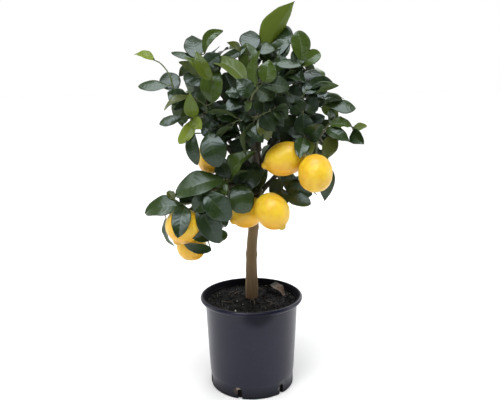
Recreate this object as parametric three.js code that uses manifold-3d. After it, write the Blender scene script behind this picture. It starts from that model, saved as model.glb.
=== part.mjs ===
// A young lemon tree in a round nursery pot. Millimetres, +Z up.
// The origin is the middle of the pot's flat base, and the front of the tree faces -Y.
// Each leafy shoot is one node, because its leaves grow out of its stem.

import * as THREE from "three";
import { mergeVertices } from "three/addons/utils/BufferGeometryUtils.js";
import Module from "manifold-3d";

const wasm = await Module();
wasm.setup();

// ---- driving dimensions ------------------------------------------------------------

const GAP = 0.3; // air left between pieces that touch
const WELD = 0.001; // corners nearer than this are one corner
const SLIVER = 0.01; // edges shorter than this are smoothed away

const POT = {
  height: 182.5,
  rimRadius: 100,
  neckRadius: 90.3, // wall, just under the rim
  stepRadius: 83.2, // wall, just above the foot band
  footRadius: 82,
  footHeight: 25,
  wall: 2,
  floor: 3,
  beadRadius: 4.4,
  sides: 40,
};
const SLOT = { count: 6, wide: 9, tall: 20, firstAngle: -107, bite: 8 };

const SOIL = { edgeHeight: 168, crownHeight: 177.5, crownRadius: 16, sides: 32 };

const TRUNK = { buried: 70, thick: 12.8, thin: 9.4, flare: 1.8, sides: 10, steps: 9 };
const BRANCH = { sides: 6, steps: 6 };
const TWIG = { thick: 2.2, thin: 1.3, sides: 5, steps: 4 };

// Blade stations from the stem end to the tip: share of length, share of half width.
const LEAF_STATIONS = [
  [0, 0.045],
  [0.3, 0.94],
  [0.72, 0.8],
];
const LEAF = { stemHalfThick: 0.9, halfThick: 0.5, bow: 0.1, fold: 0.28 };

// Lemon outline from the stem end to the nipple: share of radius, share of length.
const LEMON_OUTLINE = [
  [0, 0.012],
  [0.2, 0],
  [0.58, 0.06],
  [0.88, 0.22],
  [1, 0.43],
  [0.94, 0.62],
  [0.71, 0.79],
  [0.3, 0.915],
  [0.18, 0.965],
  [0, 1],
];
// The same without a drawn-out nipple.
const BLUNT_OUTLINE = [
  [0, 0.012],
  [0.2, 0],
  [0.6, 0.07],
  [0.9, 0.24],
  [1, 0.48],
  [0.93, 0.7],
  [0.74, 0.855],
  [0.45, 0.955],
  [0, 1],
];
const LEMON_SIDES = 12;
const CALYX = { radius: 4.8, neck: 2.2, thick: 4, sunk: 1.5, sides: 8 };
const STALK = { radius: 1.7, sides: 5, steps: 3 };

const DRIED_LEAF = { base: [33, 64, 171], tip: [66, 16, 171.6], wide: 27, bow: 0.15 };

// ---- the photograph's view, which places what grows ----------------------------------
// A place is given as [px, py, front]: a photograph pixel, and how many millimetres in
// front of the trunk's upright plane it lies.

const VIEW = {
  eye: new THREE.Vector3(-0.6, -1167, 623.4),
  pitch: 0.2125, // radians below level
  roll: -0.011,
  focal: 626.4, // photograph pixels
  middleX: 250,
  middleY: 200,
};

function seen([px, py, front]) {
  const dx = px - VIEW.middleX;
  const dy = py - VIEW.middleY;
  const across = (dx * Math.cos(VIEW.roll) + dy * Math.sin(VIEW.roll)) / VIEW.focal;
  const rise = (dx * Math.sin(VIEW.roll) - dy * Math.cos(VIEW.roll)) / VIEW.focal;
  const away = Math.cos(VIEW.pitch) + rise * Math.sin(VIEW.pitch);
  const climb = rise * Math.cos(VIEW.pitch) - Math.sin(VIEW.pitch);
  const reach = (-front - VIEW.eye.y) / away;
  return new THREE.Vector3(VIEW.eye.x + across * reach, -front, VIEW.eye.z + climb * reach);
}

// The photograph pixel at which a point of the model is seen.
function pixelOf(point) {
  const toPoint = point.clone().sub(VIEW.eye);
  const depth = toPoint.y * Math.cos(VIEW.pitch) - toPoint.z * Math.sin(VIEW.pitch);
  const up = toPoint.y * Math.sin(VIEW.pitch) + toPoint.z * Math.cos(VIEW.pitch);
  const x = (VIEW.focal * toPoint.x) / depth;
  const y = (-VIEW.focal * up) / depth;
  return new THREE.Vector2(
    VIEW.middleX + x * Math.cos(VIEW.roll) - y * Math.sin(VIEW.roll),
    VIEW.middleY + x * Math.sin(VIEW.roll) + y * Math.cos(VIEW.roll),
  );
}

// ---- where the wood grows ------------------------------------------------------------

const TRUNK_LINE = [
  [252, 297, 0],
  [251.4, 257, 0],
  [253.3, 229, 0],
  [256, 200, 0],
  [257.5, 182, 0],
  [256.5, 163, 2],
];

const BRANCHES = {
  branch_leader: {
    thick: 7.4,
    thin: 3,
    line: [[256.5, 163, 2], [258, 140, 5], [261, 115, 10], [267, 92, 14], [270, 74, 14]],
  },
  branch_left: {
    thick: 6.2,
    thin: 2.8,
    line: [[257, 178, 2], [243, 163, 15], [227, 147, 28], [213, 131, 38], [203, 112, 48]],
  },
  branch_right: {
    thick: 6.2,
    thin: 2.8,
    line: [[257, 172, 2], [270, 154, 14], [286, 138, 22], [302, 122, 26], [314, 107, 26]],
  },
  branch_front: {
    thick: 5.4,
    thin: 2.6,
    line: [[257, 176, 4], [256, 158, 32], [251, 138, 66], [249, 120, 86], [251, 100, 102]],
  },
  branch_upper_left: {
    thick: 5,
    thin: 2.6,
    line: [[257, 158, 4], [248, 140, 18], [238, 120, 36], [225, 100, 54], [213, 82, 62]],
  },
  branch_low_left: {
    thick: 5,
    thin: 2.6,
    line: [[256, 200, 4], [244, 190, 25], [233, 184, 50], [215, 191, 72], [197, 203, 84]],
  },
  branch_low_right: {
    thick: 5,
    thin: 2.6,
    line: [[257, 197, 4], [269, 183, 14], [286, 165, 30], [306, 144, 44], [321, 136, 40]],
  },
  branch_back_left: {
    thick: 5.6,
    thin: 2.6,
    line: [[256, 175, -2], [243, 157, -28], [227, 138, -52], [212, 118, -66]],
  },
  branch_back_right: {
    thick: 5.6,
    thin: 2.6,
    line: [[257, 168, -2], [271, 148, -28], [288, 126, -50], [302, 106, -62]],
  },
  branch_back: {
    thick: 5.2,
    thin: 2.6,
    line: [[258, 150, 0], [256, 128, -34], [253, 104, -58], [254, 82, -66]],
  },
};

// ---- the fruit: stem end, nipple, girth, and the way its stalk takes from the wood ---

const LEMONS = [
  {
    name: "lemon_upper_middle",
    stem: [305, 152.5, 70],
    nipple: [261.5, 166.5, 78],
    girth: 59,
    outline: LEMON_OUTLINE,
    branch: "branch_low_right",
    stalk: [[310, 142, 44], [311, 147, 60]],
  },
  {
    name: "lemon_right",
    stem: [315.5, 157.5, 87],
    nipple: [315, 190, 131],
    girth: 59,
    outline: BLUNT_OUTLINE,
    branch: "branch_low_right",
    stalk: [[318, 138, 40], [317, 145, 72]],
  },
  {
    name: "lemon_centre_front",
    stem: [262.5, 196.5, 67],
    nipple: [284, 229.5, 105],
    girth: 60,
    outline: LEMON_OUTLINE,
    branch: "branch_low_right",
    stalk: [[263, 190, 8], [261, 189, 34]],
  },
  {
    name: "lemon_centre_left",
    stem: [262, 204, 28],
    nipple: [230.5, 222.5, 56],
    girth: 55,
    outline: LEMON_OUTLINE,
    branch: "branch_low_left",
    stalk: [[248, 194, 18], [260, 199, 26]],
  },
  {
    name: "lemon_low_left",
    stem: [190.5, 210, 80],
    nipple: [176, 245, 98],
    girth: 66,
    outline: LEMON_OUTLINE,
    branch: "branch_low_left",
    stalk: [[199, 202, 83], [194, 205, 76]],
  },
  {
    name: "lemon_low_under",
    stem: [190.5, 229, 18],
    nipple: [192.5, 260.5, 46],
    girth: 56,
    outline: BLUNT_OUTLINE,
    branch: "branch_low_left",
    stalk: [[205, 197, 79], [200, 212, 30]],
  },
  {
    name: "lemon_left_middle",
    stem: [211, 142, 20],
    nipple: [210, 173.5, 46],
    girth: 47,
    outline: BLUNT_OUTLINE,
    branch: "branch_left",
    stalk: [[221, 140, 33], [216, 139, 26]],
  },
];

// ---- the leafy shoots that the photograph shows ----------------------------------------

// Which way a leaf's upper side looks. A leaf's tip is where the photograph's line of sight
// meets the plane through its base that looks that way, unless the tip has its own distance.
const FACES = {
  viewer: [0, -1, 0.3],
  tilt: [0, -1, 1],
  sky: [0, -0.3, 1],
  left: [-1, -0.8, 0.3],
  right: [1, -0.8, 0.3],
  away: [0, 1, 0.5],
  left_tilt: [-0.3, -1, 0.9],
  left_away: [-0.45, 1, 0.4],
  low: [0.2, -1, -0.35],
};
const MOST_LEAN = 1; // most that a tip lies before or behind its base, over its distance aside

const leaf = (base, tip, wide, face) => ({ base, tip, wide, face });

const SHOOTS = [
  {
    name: "shoot_far_left",
    branch: "branch_left",
    line: [
      [204, 114, 48], [190, 104, 42], [175, 91, 34],
      [169, 74, 28], [160, 63, 22], [154, 60, 18],
    ],
    leaves: [
      leaf([154, 60, 18], [134, 54], 20, "tilt"),
      leaf([175, 92, 34], [166, 72], 38, "tilt"),
      leaf([168, 86, 30], [138, 86], 26, "tilt"),
      leaf([186, 101, 40], [167, 92], 34, "viewer"),
    ],
  },
  {
    name: "shoot_upper_left",
    branch: "branch_upper_left",
    line: [[213, 83, 61], [206, 73, 62], [202, 61, 57], [200, 53, 51]],
    leaves: [
      leaf([197, 58, 55], [191, 35], 37, "tilt"),
      leaf([198, 61, 57], [171, 52], 16, "tilt"),
      leaf([204, 51, 50], [223, 29], 26, "viewer"),
      leaf([205, 66, 62], [220, 54], 32, "viewer"),
      leaf([213, 80, 80], [186, 58, 84], 27, "viewer"),
      leaf([211, 76, 76], [196, 50, 70], 25, "left"),
      leaf([202, 79, 58], [179, 60], 22, "away"),
      leaf([208, 85, 64], [184, 74], 36, "tilt"),
    ],
  },
  {
    name: "shoot_left_upper",
    branch: "branch_left",
    line: [[206, 117, 48], [207, 108, 60], [203, 103, 66], [197, 100, 70]],
    leaves: [
      leaf([212, 103, 68], [217, 64], 42, "viewer"),
      leaf([197, 99, 70], [164, 107], 28, "sky"),
      leaf([196, 103, 70], [174, 111], 34, "tilt"),
      leaf([204, 106, 58], [188, 94], 36, "viewer"),
      leaf([206, 110, 56], [222, 106], 34, "tilt"),
      leaf([204, 112, 52], [190, 103], 32, "viewer"),
    ],
  },
  {
    name: "shoot_left_lower",
    branch: "branch_left",
    line: [[214, 132, 37], [206, 126, 50], [197, 119, 62], [191, 116, 66]],
    leaves: [
      leaf([187, 116, 66], [159, 124], 22, "tilt"),
      leaf([192, 115, 66], [180, 119], 24, "tilt"),
      leaf([194, 119, 64], [179, 144], 24, "viewer"),
      leaf([192, 118, 66], [202, 129], 24, "viewer"),
      leaf([194, 124, 62], [197, 165], 24, "viewer"),
      leaf([193, 117, 82], [190, 91, 106], 26, "viewer"),
      leaf([205, 125, 52], [222, 116], 36, "viewer"),
    ],
  },
  {
    name: "shoot_left_centre",
    branch: "branch_left",
    line: [[227, 147, 28], [219, 139, 52], [210, 135, 66]],
    leaves: [
      leaf([209, 132, 68], [218, 167, 92], 46, "viewer"),
      leaf([216, 137, 58], [240, 132], 36, "tilt"),
      leaf([213, 135, 58], [201, 125], 32, "viewer"),
      leaf([224, 143, 38], [246, 138], 18, "sky"),
      leaf([229, 145, 32], [251, 148], 27, "viewer"),
      leaf([220, 139, 50], [228, 122], 34, "viewer"),
    ],
  },
  {
    name: "shoot_centre_left",
    branch: "branch_upper_left",
    line: [[240, 124, 32], [240, 112, 58], [243, 100, 82], [248, 91, 97]],
    leaves: [
      leaf([249, 91, 98], [208, 60], 34, "tilt"),
      leaf([240, 108, 60], [224, 73], 42, "viewer"),
      leaf([240, 106, 48], [234, 66], 36, "viewer"),
      leaf([240, 120, 40], [218, 100], 34, "viewer"),
      leaf([243, 99, 84], [226, 110], 32, "tilt"),
      leaf([244, 94, 88], [225, 92], 30, "tilt"),
      leaf([240, 111, 62], [216, 116], 36, "viewer"),
      leaf([241, 117, 50], [256, 108], 34, "viewer"),
      leaf([240, 119, 46], [222, 128], 34, "tilt"),
    ],
  },
  {
    name: "shoot_centre",
    branch: "branch_front",
    line: [[249, 121, 85], [256, 118, 96], [265, 113, 104], [275, 108, 108]],
    leaves: [
      leaf([243, 126, 92], [263, 142], 26, "tilt"),
      leaf([263, 114, 103], [262, 92], 38, "viewer"),
      leaf([270, 110, 106], [292, 103], 36, "tilt"),
      leaf([275, 108, 108], [288, 118], 30, "viewer"),
      leaf([260, 117, 98], [268, 140], 28, "viewer"),
      leaf([254, 118, 94], [238, 110], 32, "viewer"),
      leaf([263, 114, 103], [275, 131], 32, "viewer"),
      leaf([270, 111, 106], [284, 126], 26, "viewer"),
      leaf([252, 120, 92], [243, 137], 28, "viewer"),
      leaf([251, 121, 90], [250, 147], 32, "viewer"),
    ],
  },
  {
    name: "shoot_front_top",
    branch: "branch_front",
    line: [[251, 102, 100], [253, 94, 106], [259, 87, 108], [265, 83, 108]],
    leaves: [
      leaf([266, 84, 108], [269, 59], 34, "viewer"),
      leaf([257, 88, 108], [261, 50], 28, "left"),
      leaf([262, 85, 108], [290, 86], 36, "tilt"),
      leaf([258, 89, 108], [276, 98], 36, "viewer"),
      leaf([252, 97, 104], [237, 78], 32, "viewer"),
      leaf([251, 101, 102], [246, 112], 24, "left"),
    ],
  },
  {
    name: "shoot_top_left",
    branch: "branch_leader",
    line: [[263, 105, 11], [256, 88, 34], [250, 74, 46], [249, 62, 48], [250, 55, 44]],
    leaves: [
      leaf([250, 53, 44], [250, 30], 38, "tilt"),
      leaf([248, 69, 50], [246, 42], 38, "viewer"),
      leaf([250, 61, 48], [249, 47], 24, "tilt"),
      leaf([241, 52, 48], [228, 42], 15, "right"),
      leaf([246, 47, 46], [214, 62], 18, "viewer"),
      leaf([250, 74, 48], [234, 60], 30, "tilt"),
      leaf([254, 84, 40], [240, 68], 34, "viewer"),
    ],
  },
  {
    name: "shoot_top",
    branch: "branch_leader",
    line: [[270, 75, 14], [272, 63, 16], [273, 52, 14], [274, 47, 12]],
    leaves: [
      leaf([272, 49, 12], [295, 1, 4], 50, "left_away"),
      leaf([275, 50, 26], [255, 47], 32, "tilt"),
      leaf([274, 53, 16], [262, 56], 18, "viewer"),
      leaf([278, 56, 24], [286, 25], 38, "left_tilt"),
      leaf([274, 63, 20], [262, 62], 26, "tilt"),
      leaf([273, 60, 18], [287, 50], 20, "viewer"),
      leaf([272, 64, 16], [262, 40], 36, "viewer"),
      leaf([273, 58, 14], [288, 38], 36, "viewer"),
    ],
  },
  {
    name: "shoot_top_right",
    branch: "branch_leader",
    line: [[268, 90, 14], [280, 78, 30], [292, 69, 42], [300, 64, 46]],
    leaves: [
      leaf([301, 62, 46], [298, 31], 36, "viewer"),
      leaf([302, 64, 46], [320, 52, 48], 26, "viewer"),
      leaf([304, 64, 48], [276, 64], 24, "tilt"),
      leaf([299, 66, 46], [316, 62], 20, "tilt"),
      leaf([295, 66, 46], [295, 52], 18, "tilt"),
      leaf([290, 71, 42], [281, 88], 34, "viewer"),
      leaf([286, 74, 38], [306, 82], 34, "tilt"),
      leaf([284, 75, 34], [280, 55], 34, "viewer"),
      leaf([294, 68, 44], [304, 50], 30, "viewer"),
    ],
  },
  {
    name: "shoot_right_upper",
    branch: "branch_right",
    line: [[304, 120, 26], [303, 108, 42], [302, 98, 52], [306, 91, 52]],
    leaves: [
      leaf([306, 90, 54], [316, 69], 36, "tilt"),
      leaf([303, 93, 56], [321, 81], 32, "tilt"),
      leaf([308, 90, 50], [333, 82], 24, "tilt"),
      leaf([307, 92, 50], [339, 86], 24, "away"),
      leaf([302, 97, 54], [285, 92], 36, "viewer"),
      leaf([303, 102, 50], [318, 110], 34, "viewer"),
      leaf([303, 107, 44], [290, 114], 34, "viewer"),
    ],
  },
  {
    name: "shoot_right",
    branch: "branch_right",
    line: [[314, 108, 26], [318, 102, 28], [323, 103, 26]],
    leaves: [
      leaf([320, 101, 28], [344, 98], 32, "sky"),
      leaf([323, 103, 24], [343, 101], 28, "away"),
      leaf([324, 105, 26], [356, 108], 32, "tilt"),
      leaf([323, 105, 24], [338, 117], 28, "away"),
      leaf([317, 103, 30], [306, 100], 34, "viewer"),
      leaf([319, 102, 20], [316, 84], 30, "viewer"),
      leaf([315, 107, 26], [322, 93], 30, "viewer"),
    ],
  },
  {
    name: "shoot_far_right",
    branch: "branch_low_right",
    line: [
      [320, 137, 40], [327, 127, 36], [334, 120, 32],
      [341, 118, 30], [348, 121, 26], [353, 129, 22],
    ],
    leaves: [
      leaf([353, 128, 22], [367, 126], 18, "away"),
      leaf([353, 130, 22], [364, 144], 28, "left"),
      leaf([330, 125, 36], [352, 127], 26, "tilt"),
      leaf([326, 129, 38], [351, 140], 30, "tilt"),
      leaf([334, 135, 40], [322, 161], 29, "viewer"),
      leaf([329, 124, 34], [331, 108], 30, "right"),
    ],
  },
  {
    name: "shoot_right_centre",
    branch: "branch_right",
    line: [[296, 128, 24], [299, 120, 46], [303, 113, 64]],
    leaves: [
      leaf([299, 120, 48], [280, 130], 34, "viewer"),
      leaf([303, 113, 64], [306, 136], 36, "viewer"),
      leaf([300, 124, 40], [313, 108], 34, "viewer"),
      leaf([297, 127, 30], [324, 116, 44], 30, "viewer"),
      leaf([294, 133, 24], [268, 131], 30, "viewer"),
      leaf([302, 114, 62], [292, 100], 34, "viewer"),
      leaf([301, 117, 54], [316, 114], 28, "tilt"),
      leaf([297, 126, 34], [280, 140], 30, "viewer"),
    ],
  },
  {
    name: "shoot_over_lemons",
    branch: "branch_low_right",
    line: [[307, 144, 44], [306, 139, 60], [305, 137, 74]],
    leaves: [
      leaf([304, 138, 74], [299, 159, 112], 28, "viewer"),
      leaf([308, 140, 62], [311, 156, 106], 20, "viewer"),
      leaf([308, 138, 62], [323, 124, 94], 34, "viewer"),
      leaf([305, 137, 72], [286, 131], 32, "tilt"),
    ],
  },
  {
    name: "shoot_behind_lemons",
    branch: "branch_low_right",
    line: [[320, 137, 38], [326, 150, 22], [328, 166, 18]],
    leaves: [
      leaf([328, 166, 18], [325, 202, 24], 30, "viewer"),
      leaf([326, 152, 22], [312, 166], 32, "viewer"),
    ],
  },
  {
    name: "shoot_low_left_upper",
    branch: "branch_low_left",
    line: [[236, 185, 44], [230, 181, 58], [224, 180, 72]],
    leaves: [
      leaf([229, 180, 62], [254, 150, 74], 44, "left"),
      leaf([224, 180, 74], [175, 195], 50, "tilt"),
      leaf([228, 182, 68], [208, 194], 40, "viewer"),
      leaf([227, 179, 64], [223, 157], 36, "viewer"),
      leaf([199, 178, 68], [183, 179], 9, "sky"),
    ],
  },
  {
    name: "shoot_low_left",
    branch: "branch_low_left",
    line: [[200, 201, 82], [190, 203, 90], [182, 204, 88], [170, 207, 72], [164, 213, 60]],
    leaves: [
      leaf([184, 207, 88], [144, 210], 42, "tilt"),
      leaf([185, 206, 94], [178, 237, 144], 34, "viewer"),
      leaf([175, 200, 84], [168, 191], 16, "tilt"),
      leaf([166, 218, 58], [173, 249, 46], 18, "left"),
      leaf([198, 204, 90], [219, 243, 106], 40, "viewer"),
      leaf([193, 203, 84], [181, 192], 32, "viewer"),
    ],
  },
  {
    name: "shoot_low_under",
    branch: "branch_low_left",
    line: [[207, 196, 78], [212, 214, 58], [211, 230, 60], [207, 238, 68]],
    leaves: [
      leaf([211, 232, 70], [193, 239, 112], 26, "viewer"),
      leaf([211, 251, 66], [184, 244, 114], 24, "low"),
      leaf([211, 228, 60], [224, 240, 30], 28, "viewer"),
      leaf([212, 218, 58], [226, 228, 30], 34, "viewer"),
    ],
  },
  {
    name: "shoot_low_centre",
    branch: "branch_low_left",
    line: [[216, 190, 71], [211, 190, 88], [207, 191, 100]],
    leaves: [
      leaf([204, 192, 100], [230, 220, 110], 46, "viewer"),
      leaf([211, 190, 90], [194, 212], 36, "viewer"),
    ],
  },
  {
    name: "shoot_low_trunk",
    branch: "branch_low_left",
    line: [[245, 191, 24], [240, 187, 46], [236, 186, 64]],
    leaves: [
      leaf([240, 184, 62], [243, 211, 92], 44, "tilt"),
      leaf([240, 187, 50], [262, 172], 38, "viewer"),
      leaf([243, 188, 30], [232, 206, 2], 32, "viewer"),
      leaf([243, 187, 44], [257, 160], 36, "viewer"),
      leaf([246, 189, 28], [268, 168], 32, "viewer"),
      leaf([244, 189, 34], [259, 193], 28, "tilt"),
      leaf([238, 186, 58], [240, 163], 34, "viewer"),
    ],
  },
  {
    name: "shoot_low_right",
    branch: "branch_low_right",
    line: [[277, 175, 22], [281, 182, 30], [282, 190, 34]],
    leaves: [
      leaf([281, 192, 36], [311, 204], 32, "tilt"),
      leaf([283, 184, 30], [313, 194], 32, "viewer"),
      leaf([281, 181, 32], [298, 178], 34, "viewer"),
      leaf([281, 188, 32], [284, 206], 26, "viewer"),
      leaf([280, 179, 28], [271, 197], 26, "viewer"),
    ],
  },
];

// ---- growth by rule, inside and at the back of the crown ---------------------------------
// Each of these shoots leaves its branch at a share of the branch's length, and grows on a
// heading (degrees, 0 to the right and 90 to the back) and a climb above level.

const grown = (name, branch, at, heading, climb, reach, leaves) => (
  { name, branch, at, heading, climb, reach, leaves }
);

const RULED_SHOOTS = [
  grown("shoot_back_left_tip", "branch_back_left", 0.97, 140, 35, 58, 10),
  grown("shoot_back_left_side", "branch_back_left", 0.66, 178, 8, 72, 10),
  grown("shoot_back_left_low", "branch_back_left", 0.4, 104, -6, 84, 11),
  grown("shoot_back_right_tip", "branch_back_right", 0.97, 48, 35, 58, 10),
  grown("shoot_back_right_side", "branch_back_right", 0.66, 2, 4, 72, 10),
  grown("shoot_back_right_low", "branch_back_right", 0.4, 62, -8, 84, 11),
  grown("shoot_back_tip", "branch_back", 0.97, 96, 55, 58, 10),
  grown("shoot_back_middle", "branch_back", 0.55, 88, 12, 88, 11),
  grown("shoot_inner_left", "branch_upper_left", 0.6, 112, 40, 70, 9),
];

const RULE = {
  twist: 137.5, // degrees round the stem from one leaf to the next
  stray: 50, // degrees that a leaf may stray from that
  firstLeaf: 0.12, // share of the stem's length below its first leaf
  stalk: 9,
  length: 58,
  lengthSpread: 0.42, // over the length
  slimness: 0.52, // width over length
  splay: 62, // degrees from the stem, at the first leaf
  tipSplay: 28,
  droop: 0.3,
  arch: 0.06, // rise of a stem's middle over its reach
  outwardLean: 0.6,
  seenHalfWidth: 0.36, // over the blade's width, as the photograph sees it
  fruitRoom: 12,
  attempts: 9,
  turnOn: 40, // degrees that a leaf is turned on by at each new attempt
};

// Each drawn shoot forks inside the crown, towards the back.
const FORK = {
  at: 0.45, // share of the drawn stem's length
  reach: 60,
  leaves: 3,
  length: 46,
  attempts: 16,
  aside: 0.9,
  leastBack: 0.3,
  rise: 0.45,
};

// The crown's outline is inside these ovals: middle, half width and half height in pixels.
const CROWN_OVALS = [
  [250, 98, 82, 56],
  [238, 150, 44, 34],
  [300, 130, 48, 32],
  [206, 206, 40, 28],
  [292, 184, 34, 18],
];

// Places where daylight shows through the crown: photograph pixel and radius in pixels.
const DAYLIGHT = [
  [200, 140, 5], [229, 156, 5], [261, 149, 5], [265, 187, 5], [317, 121, 3], [291, 124, 3],
  [342, 122, 4], [218, 172, 2], [276, 104, 2], [319, 104, 2], [328, 113, 2], [230, 62, 2],
  [230, 78, 2], [241, 123, 1], [274, 125, 2], [303, 109, 1], [277, 43, 2], [234, 145, 2],
];

// ---- solids ------------------------------------------------------------------------------

// A closed solid from a geometry whose faces may point either way.
function solidOf(geometry) {
  geometry.deleteAttribute("normal");
  geometry.deleteAttribute("uv");
  const merged = mergeVertices(geometry, WELD);
  const corners = merged.index.array;
  const points = merged.attributes.position.array;
  const faces = [];
  for (let i = 0; i < corners.length; i += 3) {
    const [a, b, c] = [corners[i], corners[i + 1], corners[i + 2]];
    if (a !== b && b !== c && c !== a) faces.push(a, b, c);
  }
  const outward = signedVolume(points, faces) > 0 ? faces : faces.reverse();
  const mesh = new wasm.Mesh({
    numProp: 3,
    vertProperties: Float32Array.from(points),
    triVerts: Uint32Array.from(outward),
  });
  return new wasm.Manifold(mesh);
}

function signedVolume(points, faces) {
  const corner = (index) => new THREE.Vector3().fromArray(points, index * 3);
  let volume = 0;
  for (let i = 0; i < faces.length; i += 3) {
    volume += corner(faces[i]).dot(corner(faces[i + 1]).cross(corner(faces[i + 2]))) / 6;
  }
  return volume;
}

// The largest piece of a solid, with slivers smoothed away and offcuts and pockets dropped.
function largestPiece(solid) {
  const pieces = solidOf(geometryOf(solid.simplify(SLIVER))).decompose();
  return pieces.reduce((best, piece) => (piece.volume() > best.volume() ? piece : best));
}

function geometryOf(solid) {
  const mesh = solid.getMesh();
  const geometry = new THREE.BufferGeometry();
  geometry.setAttribute("position", new THREE.BufferAttribute(mesh.vertProperties, 3));
  geometry.setIndex(new THREE.BufferAttribute(mesh.triVerts, 1));
  return geometry;
}

function polygon(sides) {
  const corners = [];
  for (let i = 0; i < sides; i += 1) {
    const angle = (2 * Math.PI * i) / sides;
    corners.push(new THREE.Vector2(Math.cos(angle), Math.sin(angle)));
  }
  return new THREE.Shape(corners);
}

// A round stem along a curve, with its radius at each share of the length. It is made larger
// all round by `swell`, as the shapes below are too: a piece's true shape has a swell of 0,
// and the space that it keeps clear has a swell of the gap.
function stem(path, radiusAt, sides, steps, swell) {
  const options = { steps, extrudePath: path, bevelEnabled: false };
  const geometry = new THREE.ExtrudeGeometry(polygon(sides), options);
  const stations = path.getSpacedPoints(steps);
  const position = geometry.attributes.position;
  const vertex = new THREE.Vector3();
  for (let i = 0; i < position.count; i += 1) {
    vertex.fromBufferAttribute(position, i);
    const k = nearestIndex(stations, vertex);
    vertex.sub(stations[k]).multiplyScalar(radiusAt(k / steps) + swell).add(stations[k]);
    if (k === 0) vertex.addScaledVector(path.getTangentAt(0), -swell);
    if (k === steps) vertex.addScaledVector(path.getTangentAt(1), swell);
    position.setXYZ(i, vertex.x, vertex.y, vertex.z);
  }
  return solidOf(geometry);
}

function nearestIndex(points, target) {
  const distances = points.map((point) => point.distanceTo(target));
  return distances.indexOf(Math.min(...distances));
}

function curveThrough(places) {
  return new THREE.CatmullRomCurve3(places.map(seen));
}

function nearestOn(path, target) {
  const points = path.getSpacedPoints(60);
  return points[nearestIndex(points, target)];
}

function taper(thick, thin) {
  return (share) => THREE.MathUtils.lerp(thick, thin, share);
}

// ---- pot and soil --------------------------------------------------------------------------

const lathe = (profile, sides) => (
  solidOf(new THREE.LatheGeometry(profile, sides).rotateX(Math.PI / 2))
);
const at = (radius, height) => new THREE.Vector2(radius, height);

// The inside radius of the pot's wall at a height above its floor.
function innerRadius(height) {
  const share = (height - POT.footHeight) / (POT.height - POT.footHeight);
  const inner = THREE.MathUtils.lerp(POT.stepRadius, POT.neckRadius, Math.max(share, 0)) - POT.wall;
  return height < POT.footHeight ? POT.footRadius - POT.wall : inner;
}

function nurseryPot() {
  const bead = POT.beadRadius;
  const beadHeight = POT.height - bead;
  const beadMiddle = POT.rimRadius - bead;
  const profile = [
    at(0, 0),
    at(POT.footRadius - 3, 0),
    at(POT.footRadius, 2.5),
    at(POT.footRadius + 0.3, POT.footHeight),
    at(POT.stepRadius, POT.footHeight + 1.5),
    at(POT.neckRadius - 0.3, POT.height - 13),
    at(POT.neckRadius + 1, POT.height - 9.5),
  ];
  for (const degrees of [-60, -10, 40, 90, 140]) {
    const turn = THREE.MathUtils.degToRad(degrees);
    profile.push(at(beadMiddle + bead * Math.cos(turn), beadHeight + bead * Math.sin(turn)));
  }
  profile.push(
    at(POT.neckRadius - POT.wall + 1.5, POT.height - 7),
    at(innerRadius(POT.height - 13), POT.height - 13),
    at(innerRadius(POT.footHeight), POT.footHeight),
    at(POT.footRadius - POT.wall, POT.footHeight - 2),
    at(POT.footRadius - POT.wall - 2, POT.floor),
    at(0, POT.floor),
  );
  let pot = lathe(profile, POT.sides);
  for (let k = 0; k < SLOT.count; k += 1) pot = pot.subtract(drainSlot(k));
  return pot;
}

// A drainage slot's cutter, reaching in from the outside of the foot.
function drainSlot(k) {
  const angle = THREE.MathUtils.degToRad(SLOT.firstAngle + (360 * k) / SLOT.count);
  const cutter = new THREE.BoxGeometry(2 * SLOT.bite, SLOT.wide, 2 * SLOT.tall);
  cutter.translate(POT.footRadius, 0, 0).rotateZ(angle);
  return solidOf(cutter);
}

function pottingSoil(swell) {
  const bottom = POT.floor + GAP;
  const profile = [
    at(0, bottom),
    at(POT.footRadius - POT.wall - 2.6 - GAP, bottom),
    at(POT.footRadius - POT.wall - 0.4 - GAP, POT.footHeight - 2),
    at(innerRadius(SOIL.edgeHeight) - 0.4 - GAP, SOIL.edgeHeight + swell),
    at(62, SOIL.edgeHeight + 3.5 + swell),
    at(38, SOIL.crownHeight - 2.6 + swell),
    at(SOIL.crownRadius, SOIL.crownHeight + swell),
    at(0, SOIL.crownHeight + swell),
  ];
  return lathe(profile, SOIL.sides);
}

// ---- wood ----------------------------------------------------------------------------------

function trunkPath() {
  const line = TRUNK_LINE.map(seen);
  const ground = line[0];
  const buried = new THREE.Vector3(ground.x, ground.y, ground.z - TRUNK.buried);
  return new THREE.CatmullRomCurve3([buried, ...line]);
}

// The trunk thickens where it leaves the soil.
function trunk(swell) {
  const path = trunkPath();
  const groundShare = TRUNK.buried / path.getLength();
  const radiusAt = (share) => {
    const flare = TRUNK.flare * Math.exp(-(((share - groundShare) / 0.09) ** 2));
    return taper(TRUNK.thick, TRUNK.thin)(share) - 1 + flare;
  };
  return stem(path, radiusAt, TRUNK.sides, TRUNK.steps, swell);
}

function branch(row, swell) {
  const radiusAt = taper(row.thick, row.thin);
  return stem(curveThrough(row.line), radiusAt, BRANCH.sides, BRANCH.steps, swell);
}

// ---- fruit ---------------------------------------------------------------------------------

function alongAxis(geometry, from, to) {
  const direction = to.clone().sub(from).normalize();
  const turn = new THREE.Quaternion().setFromUnitVectors(new THREE.Vector3(0, 1, 0), direction);
  return geometry.applyQuaternion(turn).translate(from.x, from.y, from.z);
}

function lemon(row, swell) {
  const from = seen(row.stem);
  const to = seen(row.nipple);
  const length = from.distanceTo(to) + 2 * swell;
  const radius = row.girth / 2 + swell;
  const outline = row.outline.map(([wide, along]) => at(wide * radius, along * length - swell));
  return solidOf(alongAxis(new THREE.LatheGeometry(outline, LEMON_SIDES), from, to));
}

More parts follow.
